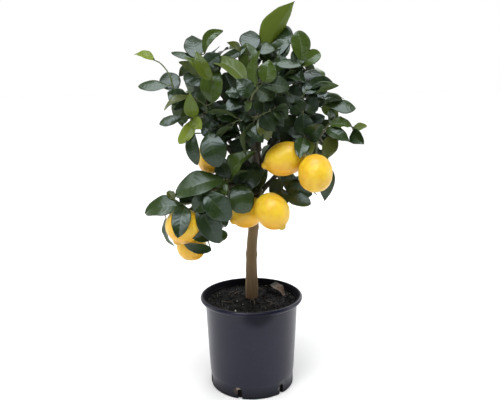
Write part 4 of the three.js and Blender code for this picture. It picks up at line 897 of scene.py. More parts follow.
def pot_material():
    """Dark blue-grey moulded plastic: semi-gloss and dusty, and stained round its drain slots.
    Painted shade makes the inside and the rim bead's inner half near black and matt, and a painted
    shadow darkens and dulls a patch under the rim at the front right."""
    s = Shader("pot_plastic")
    split = s.node("SeparateXYZ", {"Vector": s.place()}).outputs
    x, y, height = split["X"], split["Y"], split["Z"]
    around = s.math("SQRT", s.math("MULTIPLY_ADD", x, x, s.math("MULTIPLY", y, y)))
    # The inner wall and the rim bead's inner half, both given painted shade below.
    wall = s.ramp_line(
        height, POT["foot_height"], POT["height"], POT["step_radius"], POT["neck_radius"])
    inside = s.ramp(s.math("SUBTRACT", wall, around), 0.0008, 0.0016)
    inner_half = s.ramp(around, 0.0945, 0.0975, 1.0, 0.0)
    lip = s.math("MULTIPLY", s.ramp(height, 0.172, 0.174), inner_half)
    inside = s.math("MAXIMUM", inside, lip)
    cloud = s.noise(9, 4, 0.55)
    dust = s.ramp(s.noise(26, 5, 0.65, s.stretched((1, 1, 0.6))), 0.5, 0.78)
    low = s.ramp(height, 0.0, 0.05, 1.0, 0.0)
    plastic = s.mix(cloud, (0.0018, 0.0024, 0.0150), (0.0035, 0.0042, 0.0215))
    dusty = s.math("MULTIPLY", dust, s.math("MULTIPLY_ADD", low, 0.10, 0.02))
    plastic = s.mix(dusty, plastic, (0.15, 0.14, 0.13))
    scratch = s.ramp(s.noise(38, 2, 0.5, s.stretched((3, 3, 14)), 1.5), 0.66, 0.72)
    plastic = s.mix(s.math("MULTIPLY", scratch, 0.05), plastic, (0.25, 0.25, 0.27))
    for place, reach, colour in POT_STAINS:
        spot = s.near(place, reach)
        ragged = s.ramp(s.math("MULTIPLY_ADD", s.noise(230, 4, 0.7), 0.9, spot), 0.85, 1.2)
        plastic = s.mix(s.math("MULTIPLY", ragged, 0.75), plastic, colour)
    # Painted shade: the inside is near black.
    plastic = s.mix(inside, plastic, (0.0012, 0.0012, 0.0016))
    s.set(Base_Color=plastic)
    rough = s.math("MULTIPLY_ADD", s.noise(14, 4), 0.10, 0.24)
    rough = s.math("ADD", rough, s.math("MULTIPLY", dust, 0.12))
    s.set(Roughness=s.math("MULTIPLY_ADD", inside, 0.4, rough))
    grain = s.math("ADD", s.noise(900, 2), s.math("MULTIPLY", s.noise(45, 2), 2.0))
    s.set(Normal=s.bump(grain, 0.06, 0.0006), Specular_IOR_Level=0.36)

    # Painted shadow: a dark matt patch under the rim at the front right; the inside is made dark
    # and matt as well, as painted shade.
    place, reach = POT_SHADOW_PATCH
    shadow_patch = s.ramp(s.math("MULTIPLY_ADD", s.noise(30, 3), 0.3, s.near(place, reach)), 0.15, 0.75)
    painted_shade = s.math("MAXIMUM", s.math("MULTIPLY", shadow_patch, 0.6), s.math("MULTIPLY", inside, 0.7))
    shade_matt = s.node("BsdfDiffuse", {"Color": (0.006, 0.006, 0.011)})
    s.blend_surface(painted_shade, shade_matt)
    return s.material


def dry_leaf_material():
    s = Shader("dry_leaf")
    patch = s.noise(90, 4, 0.6)
    grey = s.mix(s.ramp(patch, 0.3, 0.7), (0.022, 0.019, 0.015), (0.075, 0.060, 0.042))
    tan = s.mix(s.ramp(patch, 0.3, 0.7), (0.060, 0.034, 0.020), (0.235, 0.155, 0.105))
    brown = s.mix(s.ramp(s.value("leaf_along"), 0.3, 0.5), grey, tan)
    width = s.math("ABSOLUTE", s.value("leaf_across"))
    rib = s.ramp(width, 0.0, 0.07, 0.7, 0.0)
    s.set(Base_Color=s.mix(rib, brown, (0.16, 0.10, 0.055)), Roughness=0.7)
    s.set(Normal=s.bump(s.noise(160, 4), 0.8, 0.002))
    return s.material


# ---- leaves as meshes ------------------------------------------------------------------

LEAF_SKIN, TWIG_SKIN, SHADED_SKIN = range(3)  # a shoot's materials, in their order
ACROSS = np.array((-1, -0.88, -0.68, -0.44, -0.2, -0.06, 0, 0.06, 0.2, 0.44, 0.68, 0.88, 1))
ALONG = 16
HALF_THICK = 0.24
OUTLINES = {  # where it is widest, fullness, and how drawn out its tip is
    "ovate": (0.42, 0.75, 0.12),
    "round": (0.54, 0.62, 0.0),
    "pointed": (0.40, 0.85, 0.3),
    "spoon": (0.64, 0.7, 0.0),
    "boxy": (0.55, 0.33, 0.0),
}


def half_widths(shares, outline):
    """Share of the half width at each share of the length, from a narrow base to the tip."""
    widest, fullness, point = OUTLINES[outline]
    power = math.log(0.5) / math.log(widest)
    full = np.sin(math.pi * np.clip(shares, 0, 1) ** power).clip(0) ** fullness
    tip = np.clip((shares - 0.8) / 0.2, 0, 1)
    return full * (1 - point * tip) + 0.012


def blade(base, tip, wide, up, *, bow=0.1, fold=0.28, curl=0.0, twist=0.0, sway=0.0,
          wave=0.03, waves=3.0, outline="ovate", salt=0.0):
    """The points and faces of a leaf's blade, a closed skin, and its leaf coordinates.

    bow lifts its middle, curl bends its tip down, sway bends it sideways, twist turns it
    along its length and fold lifts its two halves towards each other.
    """
    axis = tip - base
    length = np.linalg.norm(axis)
    axis = axis / length
    side = unit(np.cross(axis, up))
    face = np.cross(side, axis)
    shares = np.linspace(0, 1, ALONG)
    shares = 0.5 * shares + 0.25 * (1 - np.cos(math.pi * shares))
    halves = half_widths(shares, outline) * wide / 2
    arch = 4 * shares * (1 - shares)
    middle = (
        base
        + np.outer(shares * length, axis)
        + np.outer(bow * length * arch - curl * length * shares ** 3 * 0.5, face)
        + np.outer(sway * length * arch, side)
    )
    upper, lower, across_of, along_of = [], [], [], []
    for row, (share, centre, half) in enumerate(zip(shares, middle, halves)):
        turn = twist * (share - 0.3)
        sideways = side * math.cos(turn) + face * math.sin(turn)
        lift = face * math.cos(turn) - side * math.sin(turn)
        for across in ACROSS:
            ruffle = wave * wide * across ** 2 * math.sin(
                waves * 2 * math.pi * share + 1.7 * np.sign(across) + salt)
            height = fold * half * abs(across) ** 1.25 + ruffle * min(1.0, 6 * share)
            spot = centre + sideways * across * half * (1 - 0.12 * fold) + lift * height
            groove = 0.35 * math.exp(-((across / 0.08) ** 2)) * (1 - share)
            rib = 0.75 * math.exp(-((across / 0.07) ** 2)) * (1 - 0.8 * share)
            edge = max(0.0, 1 - abs(across) ** 6)
            upper.append(spot + lift * (HALF_THICK * edge - groove))
            lower.append(spot - lift * (HALF_THICK * edge + rib))
            across_of.append(across)
            along_of.append(share)
    return stitched(upper, lower, across_of, along_of)


def stitched(upper, lower, across_of, along_of):
    """Joins an upper and a lower grid of points at their rims."""
    columns = len(ACROSS)
    faces = grid_faces(ALONG, columns)
    shift = len(upper)

    def under(index):
        return index if index % columns in (0, columns - 1) else index + shift

    skin = list(faces)
    skin += [tuple(under(i) for i in face[::-1]) for face in faces]
    last = (ALONG - 1) * columns
    for c in range(columns - 1):
        skin.append((c + 1, c, under(c), under(c + 1)))
        skin.append((last + c, last + c + 1, under(last + c + 1), under(last + c)))
    skin = [tuple(dict.fromkeys(face)) for face in skin]
    values = dict(
        leaf_across=np.array(across_of * 2),
        leaf_along=np.array(along_of * 2),
        leaf_side=np.array([1.0] * shift + [0.0] * shift),
    )
    return np.array(upper + lower), [f for f in skin if len(f) > 2], values


def only_used(points, faces, values):
    """Drops points that no face uses."""
    used = sorted({i for face in faces for i in face})
    new = {old: index for index, old in enumerate(used)}
    kept = {key: column[used] for key, column in values.items()}
    return points[used], [tuple(new[i] for i in face) for face in faces], kept


def leaf_parts(parts, row, rng):
    """Adds one leaf, with its stalk and the bud at its root."""
    tone, thin = TONES[row["tone"]]
    tone = np.array(tone) * rng.uniform(0.85, 1.18)
    shape = dict(
        bow=rng.uniform(0.03, 0.15), fold=rng.uniform(0.08, 0.5), curl=rng.uniform(-0.1, 0.35),
        twist=rng.uniform(-0.6, 0.6), sway=rng.uniform(-0.08, 0.08),
        wave=rng.uniform(0.02, 0.06), waves=rng.uniform(1.4, 3.2), salt=rng.uniform(0, 6),
        outline=rng.choice(("ovate", "pointed", "ovate", "round")),
    )
    shape.update(row["shape"])
    up = np.array(row["up"], float)
    skin = blade(row["base"], row["tip"], row["wide"], up, **shape)
    points, faces, values = only_used(*skin)
    colour = dict(zip(("leaf_colour_r", "leaf_colour_g", "leaf_colour_b"), tone))
    surface = SHADED_SKIN if row.get("shaded") else LEAF_SKIN
    parts.add(points, faces, surface, **values, **colour, leaf_thin=thin)

    axis = unit(row["tip"] - row["base"])
    middle = (row["root"] + row["base"]) / 2 - axis * 0.8
    stalk = Curve([row["root"], middle, row["base"], row["base"] + axis * 5])
    radii = np.linspace(LEAF_STALK["thick"], LEAF_STALK["thin"], LEAF_STALK["steps"] + 1)
    points, faces = tube(stalk.spaced(LEAF_STALK["steps"]), radii, LEAF_STALK["sides"])
    parts.add(points, faces, TWIG_SKIN, woody=0.1)
    bud = row["root"] + unit(row["base"] - row["root"] + np.array((0, 0, 4))) * 2.6
    points, faces = tube([row["root"], bud, bud + (0, 0, 1.6)], (1.5, 1.2, 0.2), 6)
    parts.add(points, faces, TWIG_SKIN, woody=0.35)


def drawn_shoot(branch_name, line, rows):
    places = [seen(place) for place in line]
    places[0] = branch_curve(branch_name).nearest(places[0])
    path = Curve(places)
    leaves = []
    for row in rows:
        base, up = seen(row["base"]), np.array(FACES[row["face"]])
        own_distance = len(row["tip"]) == 3
        tip = seen(row["tip"]) if own_distance else seen_on_plane(*row["tip"], base, up)
        # Dark and deep leaves in the middle of the crown take the shaded material, with its painted
        # shade.
        shaded = row["tone"] in ("dark", "deep") and in_oval(pixel_of((base + tip) / 2), *SHADE)
        leaves.append({
            **row, "base": base, "tip": tip, "root": path.nearest(base), "up": up,
            "shaded": shaded})
    return path, leaves


def lot(seed, index, salt):
    """A repeatable number from 0 to 1."""
    value = math.sin(seed + index * 37.719 + salt) * 43758.5453
    return value - math.floor(value)


def arched(start, way, reach):
    """A stem that grows straight from start, but for a little rise in its middle."""
    middle = start + way * reach / 2 + np.array((0, 0, reach * RULE["arch"]))
    return Curve([start, middle, start + way * reach])


def ruled_shoot(spec):
    branch_name, at, heading, climb, reach, count = spec
    start = branch_curve(branch_name).at(at)
    turn, lift = math.radians(heading), math.radians(climb)
    way = np.array((
        math.cos(turn) * math.cos(lift), math.sin(turn) * math.cos(lift), math.sin(lift)))
    path = arched(start, way, reach)
    seed = heading * 12.9898 + at * 78.233
    return path, spiral(seed, path, way, count, RULE["length"])


def fork(shoot_index, path):
    """The side stem by which a shoot grows back into the crown, and its leaves."""
    seed = shoot_index * 12.9898
    start = path.at(FORK["at"])
    for attempt in range(FORK["attempts"]):
        aside, back, rise = (lot(seed, attempt, salt) for salt in (4, 5, 6))
        way = unit(np.array((
            FORK["aside"] * (2 * aside - 1), FORK["least_back"] + back,
            FORK["rise"] * (2 * rise - 1))))
        end = start + way * FORK["reach"]
        if inside_crown(end) and stays_clear(dict(base=start, tip=end, wide=0)):
            side_stem = arched(start, way, FORK["reach"])
            leaves = spiral(seed, side_stem, way, FORK["leaves"], FORK["length"])
            # The fork's leaves all take the shaded material, with its painted shade.
            return side_stem, [{**row, "tone": "dark", "shaded": True} for row in leaves]
    return None, []


def spiral(seed, path, way, count, length):
    """Leaves in a spiral up a stem, each turned on round the stem until it is one to keep."""
    leaves = []
    for i in range(count):
        share = i / (count - 1)
        for attempt in range(RULE["attempts"]):
            row = spiral_leaf(seed, path, way, share, i, attempt, length)
            if inside_crown(row["tip"]) and stays_clear(row):
                leaves.append(row)
                break
    return leaves


def spiral_leaf(seed, path, way, share, i, attempt, length):
    root = path.at(RULE["first_leaf"] + (1 - RULE["first_leaf"]) * share)
    turn = RULE["twist"] * i + RULE["stray"] * lot(seed, i, 1) + RULE["turn_on"] * attempt
    turn = math.radians(turn)
    splay = math.radians(RULE["splay"] + (RULE["tip_splay"] - RULE["splay"]) * share)
    sideways = unit(np.array((-way[1], way[0], 0)))
    upward = np.cross(sideways, way)
    outward = sideways * math.cos(turn) + upward * math.sin(turn)
    direction = way * math.cos(splay) + outward * math.sin(splay)
    direction[2] -= RULE["droop"] * lot(seed, i, 2)
    direction = unit(direction)
    length = length * (1 + RULE["length_spread"] * lot(seed, i, 3))
    base = root + direction * RULE["stalk"]
    lean = RULE["outward_lean"]
    if share < RULE["dark_until"]:
        tone = "dark"
    else:
        tone = "deep" if share < RULE["deep_until"] else "green"
    return dict(
        root=root, base=base, tip=base + direction * length, wide=length * RULE["slimness"],
        up=(way[0] * lean, way[1] * lean, 1), tone=tone, shape={})


def in_oval(pixel, x, y, wide, tall):
    return ((pixel[0] - x) / wide) ** 2 + ((pixel[1] - y) / tall) ** 2 < 1


def inside_crown(point):
    pixel = pixel_of(point)
    return any(in_oval(pixel, *oval) for oval in CROWN_OVALS)


def stays_clear(row):
    """Whether a leaf leaves the places of daylight open and the fruit free."""
    return not closes_daylight(row) and not meets_fruit(row)


def closes_daylight(row):
    start = pixel_of(row["base"])
    along = pixel_of(row["tip"]) - start
    pixels_per_mm = FOCAL / np.linalg.norm(row["base"] - EYE)
    for px, py, radius in DAYLIGHT:
        to_gap = np.array((px, py)) - start
        share = np.clip(np.dot(to_gap, along) / np.dot(along, along), 0, 1)
        miss = np.linalg.norm(to_gap - along * share)
        if miss < radius + RULE["seen_half_width"] * row["wide"] * pixels_per_mm:
            return True
    return False


def meets_fruit(row):
    base, along = row["base"], row["tip"] - row["base"]
    for fruit in LEMONS.values():
        middle = (seen(fruit["stem"]) + seen(fruit["nipple"])) / 2
        share = np.clip(np.dot(middle - base, along) / np.dot(along, along), 0, 1)
        if np.linalg.norm(base + along * share - middle) < fruit["girth"] / 2 + RULE["fruit_room"]:
            return True
    return False


def make_shoot(name, stems, leaves, materials):
    rng = random.Random(f"{SEED} {name}")
    parts = Parts()
    steps, sides = 26, 9
    radii = np.linspace(TWIG["thick"], TWIG["thin"], steps + 1)
    woody = np.clip(np.linspace(0.9, -1.6, steps + 1), 0, 1)
    woody = np.concatenate((np.repeat(woody, sides), (0.9, 0.0)))
    for path in stems:
        points, faces = tube(path.spaced(steps), radii, sides, 0.35, 0.12)
        parts.add(points, faces, TWIG_SKIN, woody=woody)
    for row in leaves:
        leaf_parts(parts, row, rng)
    stand_for(parts.make(name, materials), name)


def make_foliage():
    materials = [
        leaf_material("lemon_leaf"), twig_material(), leaf_material("lemon_leaf_shaded", True)]
    grown = {name: drawn_shoot(*row) for name, row in SHOOTS.items()}
    grown.update({name: ruled_shoot(spec) for name, spec in RULED_SHOOTS.items()})
    for index, (name, (path, leaves)) in enumerate(grown.items()):
        side_stem, more = fork(index, path)
        make_shoot(name, [path, side_stem] if more else [path], leaves + more, materials)


# ---- wood ------------------------------------------------------------------------------

def trunk_curve():
    line = [seen(place) for place in TRUNK_LINE]
    buried = line[0] - np.array((0, 0, TRUNK["buried"]))
    return Curve([buried, *line])


def make_trunk(bark):
    path = trunk_curve()
    ground = TRUNK["buried"] / path.length
    steps, sides = 130, 28
    shares = np.linspace(0, 1, steps + 1)
    foot = TRUNK["thick"] - TRUNK["bump_room"]
    radii = foot + (TRUNK["thin"] - TRUNK["thick"]) * shares
    radii = radii + TRUNK["flare"] * np.exp(-(((shares - ground) / 0.16) ** 2))
    for at, size in TRUNK_KNOTS:
        radii = radii + size * np.exp(-(((shares - at) / 0.014) ** 2))
    points, faces = tube(path.spaced(steps), radii, sides, 1.1, 0.035)
    # Painted shade: the trunk's upper part, inside the crown, is given the near-black bark.
    young = np.repeat(np.clip((shares - 0.6) * 5, 0, 0.9), sides)
    parts = Parts()
    parts.add(points, faces, 0, young=np.concatenate((young, (0.0, 0.9))))
    stand_for(parts.make("trunk_wood", [bark]), "trunk")


def make_branch(name, bark):
    thick, thin, line = BRANCHES[name]
    steps, sides = 60, 16
    shares = np.linspace(0, 1, steps + 1)
    radii = thick + (thin - thick) * shares
    radii = radii * (1 + 0.45 * np.exp(-((shares / 0.07) ** 2)))
    rng = random.Random(f"{SEED} {name}")
    for _ in range(4):
        at = rng.uniform(0.15, 0.95)
        radii = radii + 0.7 * np.exp(-(((shares - at) / 0.02) ** 2))
    points, faces = tube(curve_of(line).spaced(steps), radii, sides, 0.8, 0.07)
    # Painted shade: the branches, inside the crown, are given the near-black bark almost all along.
    young = np.repeat(np.clip(0.8 + shares, 0, 1), sides)
    parts = Parts()
    parts.add(points, faces, 0, young=np.concatenate((young, (0.0, 1.0))))
    stand_for(parts.make(name + "_wood", [bark]), name)


# ---- fruit -----------------------------------------------------------------------------

def turned(points, start, way):
    """Points that stand along +Z, laid along way from start."""
    turn = Vector((0, 0, 1)).rotation_difference(Vector(way)).to_matrix()
    return np.asarray(points) @ np.array(turn).T + start


def make_lemon(name, row):
    stem, nipple = seen(row["stem"]), seen(row["nipple"])
    length = np.linalg.norm(nipple - stem)
    rng = random.Random(f"{SEED} lemon {name}")
    rings, sides = 44, 56
    shares = BLUNT_OUTLINE if row["blunt"] else LEMON_OUTLINE
    outline = Curve([(r * row["girth"] / 2, 0, a * length) for r, a in shares])
    profile = outline.spaced(rings)
    salt = Vector((rng.uniform(0, 50), rng.uniform(0, 50), rng.uniform(0, 50)))
    points, along_of = [], []
    for radius, _, height in profile[1:-1]:
        share = height / length
        for i in range(sides):
            turn = 2 * math.pi * i / sides
            spot = Vector((math.cos(turn), math.sin(turn), height / 30)) + salt
            uneven = 1 + 0.022 * noise.noise(spot * 1.3) + 0.008 * noise.noise(spot * 4)
            near_ends = math.exp(-share * RIBS["fade"])
            near_ends += math.exp((share - RIBS["nipple_at"]) * RIBS["fade"])
            ridge = RIBS["height"] * math.sin(RIBS["count"] * turn + salt.x) * near_ends
            reach = max(radius, 0) * uneven + ridge * min(1.0, radius / 12)
            points.append((reach * math.cos(turn), reach * math.sin(turn), height))
            along_of.append(share)
    points += [(0, 0, profile[0][2]), (0, 0, profile[-1][2])]
    along_of += [0.0, 1.0]
    placed = turned(points, stem, unit(nipple - stem))
    depth = (placed[:, 2].max() - placed[:, 2]) / np.ptp(placed[:, 2])
    parts = Parts()
    faces = capped_faces(rings - 1, sides)
    parts.add(placed, faces, 0, fruit_along=along_of, fruit_depth=depth)
    peel = lemon_material("lemon_peel_" + name, row["green"], row["under_shade"])
    stand_for(parts.make("lemon_" + name, [peel]), "lemon_" + name)


def make_stalk(name, row, twig, calyx):
    """The fruit's stalk, and the star-shaped calyx that holds it."""
    stem = seen(row["stem"])
    inward = unit(seen(row["nipple"]) - stem)
    start = branch_curve(row["branch"]).nearest(seen(row["stalk"][0]))
    collar = stem - inward * CALYX["thick"]
    path = Curve([start, *(seen(place) for place in row["stalk"][1:]), collar])
    parts = Parts()
    radii = STALK_RADIUS * (1 + 0.35 * np.exp(-((np.linspace(0, 1, 25) - 1) / 0.12) ** 2))
    points, faces = tube(path.spaced(24), radii, 10, 0.4, 0.12)
    parts.add(points, faces, 0, woody=0.25)
    rows, sides = 7, 40
    shape = []
    for r in range(rows):
        share = r / (rows - 1)
        for i in range(sides):
            turn = 2 * math.pi * i / sides
            lobe = 1 + CALYX["lobe_depth"] * share * math.cos(CALYX["lobes"] * turn)
            spread = (CALYX["radius"] - CALYX["neck"]) * share ** 0.8
            radius = (CALYX["neck"] + spread) * lobe
            height = -CALYX["thick"] + (CALYX["thick"] + CALYX["sunk"]) * share ** 1.6
            shape.append((radius * math.cos(turn), radius * math.sin(turn), height))
    shape += [(0, 0, -CALYX["thick"]), (0, 0, CALYX["sunk"])]
    parts.add(turned(shape, stem, inward), capped_faces(rows, sides), 1, woody=0.0)
    made = parts.make("stalk_" + name, [twig, calyx])
    stand_for(made, "stalk_" + name)


# ---- pot -------------------------------------------------------------------------------

def inner_radius(height):
    share = (height - POT["foot_height"]) / (POT["height"] - POT["foot_height"])
    inner = POT["step_radius"] + (POT["neck_radius"] - POT["step_radius"]) * max(share, 0)
    return (POT["foot_radius"] if height < POT["foot_height"] else inner) - POT["wall"]


def pot_profile():
    height, low, high = POT["height"], POT["foot_height"], POT["height"] - POT["neck_drop"]
    foot, step, neck = POT["foot_radius"], POT["step_radius"], POT["neck_radius"]
    bead, wall, floor = POT["bead_radius"], POT["wall"], POT["floor"]
    profile = [
        (0, 0.6), (foot - 14, 0.6), (foot - 12, 0), (foot - 3.4, 0), (foot - 1.2, 0.7),
        (foot - 0.2, 2.4), (foot, 5), (foot + 0.3, low - 0.6), (foot + 0.5, low),
        (foot + 0.75, low + 1.5), (step - 0.15, low + 3.6), (step + 0.15, low + 6),
    ]
    for share in (0.12, 0.25, 0.4, 0.55, 0.7, 0.85):
        profile.append((step + share * (neck - 0.3 - step), low + share * (high - low)))
    profile += [(neck - 0.3, high), (neck, height - 11), (neck + 1.4, height - 9.6)]
    for degrees in range(-62, 151, 14):
        turn = math.radians(degrees)
        across = POT["rim_radius"] - bead + bead * math.cos(turn)
        profile.append((across, height - bead + bead * math.sin(turn)))
    profile += [
        (neck - wall + 2.4, height - 4.6), (neck - wall + 1.5, height - 7),
        (inner_radius(high), high), (inner_radius(120), 120), (inner_radius(low), low),
        (foot - wall, low - 2), (foot - wall - 2, floor), (0, floor),
    ]
    return profile


def spun(profile, sides):
    """A closed solid of revolution from a profile that starts and ends on the axis."""
    inner = profile[1:-1]
    points = [point for radius, height in inner for point in ring(radius, height, sides)]
    points += [(0, 0, profile[0][1]), (0, 0, profile[-1][1])]
    return np.array(points), capped_faces(len(inner), sides)


def slot_cutter(k):
    """A rounded upright slot at the foot, reaching in from outside."""
    angle = math.radians(SLOT["first_angle"] + 360 / SLOT["count"] * k)
    half, tall, bite = SLOT["wide"] / 2, SLOT["tall"], SLOT["bite"]
    outline = [(-half, -4), (half, -4)]
    for degrees in range(0, 181, 20):
        turn = math.radians(degrees)
        outline.append((half * math.cos(turn), tall - half * 0.6 + 0.6 * half * math.sin(turn)))
    points = []
    for reach in (POT["foot_radius"] - bite, POT["foot_radius"] + bite):
        for across, height in outline:
            points.append((
                reach * math.cos(angle) - across * math.sin(angle),
                reach * math.sin(angle) + across * math.cos(angle), height))
    count = len(outline)
    faces = [tuple(range(count))[::-1], tuple(range(count, 2 * count))]
    for i in range(count):
        n = (i + 1) % count
        faces.append((i, n, n + count, i + count))
    return np.array(points), faces


def make_pot(plastic):
    parts = Parts()
    parts.add(*spun(pot_profile(), POT["sides"]))
    pot = parts.make("nursery_pot_moulding", [plastic])
    cutters = Parts()
    for k in range(SLOT["count"]):
        cutters.add(*slot_cutter(k))
    cutter = cutters.make("slot_cutters", [plastic], smooth=False)
    cut = pot.modifiers.new("slots", "BOOLEAN")
    cut.object, cut.operation, cut.solver = cutter, "DIFFERENCE", "EXACT"
    settle(pot)
    bpy.data.objects.remove(cutter)
    pot.data.set_sharp_from_angle(angle=math.radians(38))
    stand_for(pot, "nursery_pot")


def settle(obj):
    """Makes an object's modifiers part of its mesh."""
    depsgraph = bpy.context.evaluated_depsgraph_get()
    mesh = bpy.data.meshes.new_from_object(obj.evaluated_get(depsgraph))
    obj.modifiers.clear()
    obj.data = mesh


# ---- soil ------------------------------------------------------------------------------

PEAT, GRIT = range(2)  # the soil's materials, in their order


def soil_height(radius):
    crown, edge = SOIL["crown_height"], SOIL["edge_height"]
    heights = (
        (0, crown), (SOIL["crown_radius"], crown), (38, crown - 2.6), (62, edge + 4.2),
        (86, edge + 2))
    return float(np.interp(radius, *zip(*heights)))


def make_soil(peat, grit):
    rng = random.Random(f"{SEED} soil")
    parts = Parts()
    edge = inner_radius(SOIL["edge_height"]) - 0.6
    sides, rings = 150, 46
    points = []
    for r in range(rings):
        radius = edge * (r + 1) / rings
        for i in range(sides):
            turn = 2 * math.pi * i / sides
            x, y = radius * math.cos(turn), radius * math.sin(turn)
            spot = Vector((x, y, 0))
            lumps = sum(tall * noise.noise(spot * close) for tall, close in SOIL_LUMPS)
            lumps *= min(1, (edge - radius) / 3 + 0.2)
            points.append((x, y, soil_height(radius) + lumps))
    foot, bottom = POT["foot_radius"] - POT["wall"], POT["floor"] + SOIL["gap"]
    points += ring(foot - 0.7, POT["foot_height"] - 2, sides) + ring(foot - 2.9, bottom, sides)
    points += [(0, 0, SOIL["crown_height"]), (0, 0, bottom)]
    faces = [face[::-1] for face in capped_faces(rings + 2, sides)]
    parts.add(points, faces, PEAT, bit_shade=0.0)
    scatter_crumbs(parts, rng, edge)
    scatter_fibres(parts, rng, edge)
    soil = parts.make("soil_with_fibres", [peat, grit])
    stand_for(soil, "potting_soil")


def on_soil(rng, edge):
    """A random place on the soil's surface, outside the trunk."""
    radius = math.sqrt(rng.uniform(SOIL["trunk_room"] ** 2, edge ** 2))
    turn = rng.uniform(0, 2 * math.pi)
    return np.array((radius * math.cos(turn), radius * math.sin(turn), soil_height(radius)))


def random_turn(rng):
    axis = Vector((rng.gauss(0, 1), rng.gauss(0, 1), rng.gauss(0, 1))).normalized()
    return np.array(Matrix.Rotation(rng.uniform(0, 2 * math.pi), 3, axis))


def lump(rng, size, flat=0.6):
    """A small broken lump: a rough ball with three rings of points, pressed and turned."""
    rings, sides = 4, 6
    points = [(0, 0, 1)]
    for r in range(1, rings):
        lean = math.pi * r / rings
        for i in range(sides):
            turn = 2 * math.pi * (i + 0.5 * r) / sides
            reach = rng.uniform(0.72, 1.15)
            points.append((
                reach * math.sin(lean) * math.cos(turn),
                reach * math.sin(lean) * math.sin(turn), reach * math.cos(lean)))
    points.append((0, 0, -1))
    faces = [(0, 1 + i, 1 + (i + 1) % sides) for i in range(sides)]
    for r in range(rings - 2):
        for i in range(sides):
            a, b = 1 + r * sides + i, 1 + r * sides + (i + 1) % sides
            faces.append((a, a + sides, b + sides, b))
    end = len(points) - 1
    start = 1 + (rings - 2) * sides
    faces += [(end, start + (i + 1) % sides, start + i) for i in range(sides)]
    scale = np.array((size, size * rng.uniform(0.4, 0.8), size * flat * rng.uniform(0.5, 1)))
    return (np.array(points) * scale) @ random_turn(rng).T, faces


def scatter_crumbs(parts, rng, edge):
    for _ in range(SOIL_BITS["crumbs"]):
        spot = on_soil(rng, edge - 2)
        points, faces = lump(rng, rng.choice((0.7, 0.9, 1.2, 1.6, 2.4)) * rng.uniform(0.7, 1.3))
        parts.add(points + spot, faces, PEAT, bit_shade=rng.random() ** 3.2)
    for _ in range(SOIL_BITS["grit"]):
        spot = on_soil(rng, edge - 4)
        points, faces = lump(rng, rng.uniform(0.7, 1.3), 0.9)
        parts.add(points + spot + (0, 0, 0.8), faces, GRIT, bit_shade=0.0)
    pebble, faces = lump(rng, PEBBLE["size"], 0.9)
    parts.add(pebble + np.array(PEBBLE["place"]), faces, GRIT, bit_shade=0.0)


def scatter_fibres(parts, rng, edge):
    for _ in range(SOIL_BITS["fibres"]):
        spot = on_soil(rng, edge - 8)
        heading = rng.uniform(0, 2 * math.pi)
        reach = rng.uniform(5, 20)
        way = np.array((math.cos(heading), math.sin(heading), rng.uniform(-0.1, 0.16)))
        aside = np.array((-way[1], way[0], 0.15)) * rng.uniform(-0.3, 0.3)
        middle = spot + way * reach / 2 + aside * reach + np.array((0, 0, rng.uniform(0.4, 2.2)))
        path = Curve([spot + (0, 0, 0.4), middle, spot + way * reach + (0, 0, 0.2)]).spaced(7)
        points, faces = tube(path, rng.uniform(0.18, 0.42) * np.linspace(1, 0.5, 8), 5)
        parts.add(points, faces, PEAT, bit_shade=rng.choice((0.4, 0.5, 0.55, 0.6, 0.65, 0.84)))
    for places, radius in PALE_STRANDS:
        points, faces = tube(Curve(places).spaced(16), radius * np.linspace(1, 0.6, 17), 6)
        parts.add(points, faces, PEAT, bit_shade=1.0)


def make_dried_leaf():
    base, tip = np.array(DRIED_LEAF["base"]), np.array(DRIED_LEAF["tip"])
    root = base - (tip - base) * 0.12
    up = np.array((0.15, -0.2, 1))
    skin = blade(base, tip, DRIED_LEAF["wide"], up, **DRIED_SHAPE)
    points, faces, values = only_used(*skin)
    parts = Parts()
    parts.add(points, faces, 0, **values)
    stalk = [root, (root + base) / 2 + (0, 0, 1), base + (tip - base) * 0.1]
    parts.add(*tube(stalk, (1, 0.8, 0.5), 7))
    made = parts.make("dried_leaf_curled", [dry_leaf_material()])
    stand_for(made, "dried_leaf")


# ---- stage, light and camera -----------------------------------------------------------

def make_floor():
    mesh = bpy.data.meshes.new("floor")
    half = 12.0
    corners = [(-half, -half, 0), (half, -half, 0), (half, half, 0), (-half, half, 0)]
    mesh.from_pydata(corners, [], [(0, 1, 2, 3)])
    floor = bpy.data.objects.new("floor", mesh)
    bpy.context.scene.collection.objects.link(floor)
    s = Shader("pale_floor")
    s.set(Base_Color=(0.86, 0.86, 0.86), Roughness=0.9, Specular_IOR_Level=0.1)
    mesh.materials.append(s.material)


# Name, place and size in metres, and watts.
AREA_LIGHTS = [
    ("key", (-1.1, -1.7, 2.0), (1.2, 1.2), 16),
    ("left_side", (-1.7, 0.2, 0.6), (0.4, 1.6), 7),
    ("right_side", (1.7, 0.2, 0.7), (0.4, 1.6), 7),
    ("behind", (0.4, 1.8, 1.4), (1.6, 1.2), 16),
]
LIT_MIDDLE = (0, 0, 0.45)


def area_light(name, place, size, watts):
    data = bpy.data.lights.new(name, "AREA")
    data.shape, data.size, data.size_y = "RECTANGLE", *size
    data.energy = watts
    light = bpy.data.objects.new(name, data)
    light.location = place
    aim = Vector(LIT_MIDDLE) - Vector(place)
    light.rotation_euler = aim.to_track_quat("-Z", "Y").to_euler()
    bpy.context.scene.collection.objects.link(light)


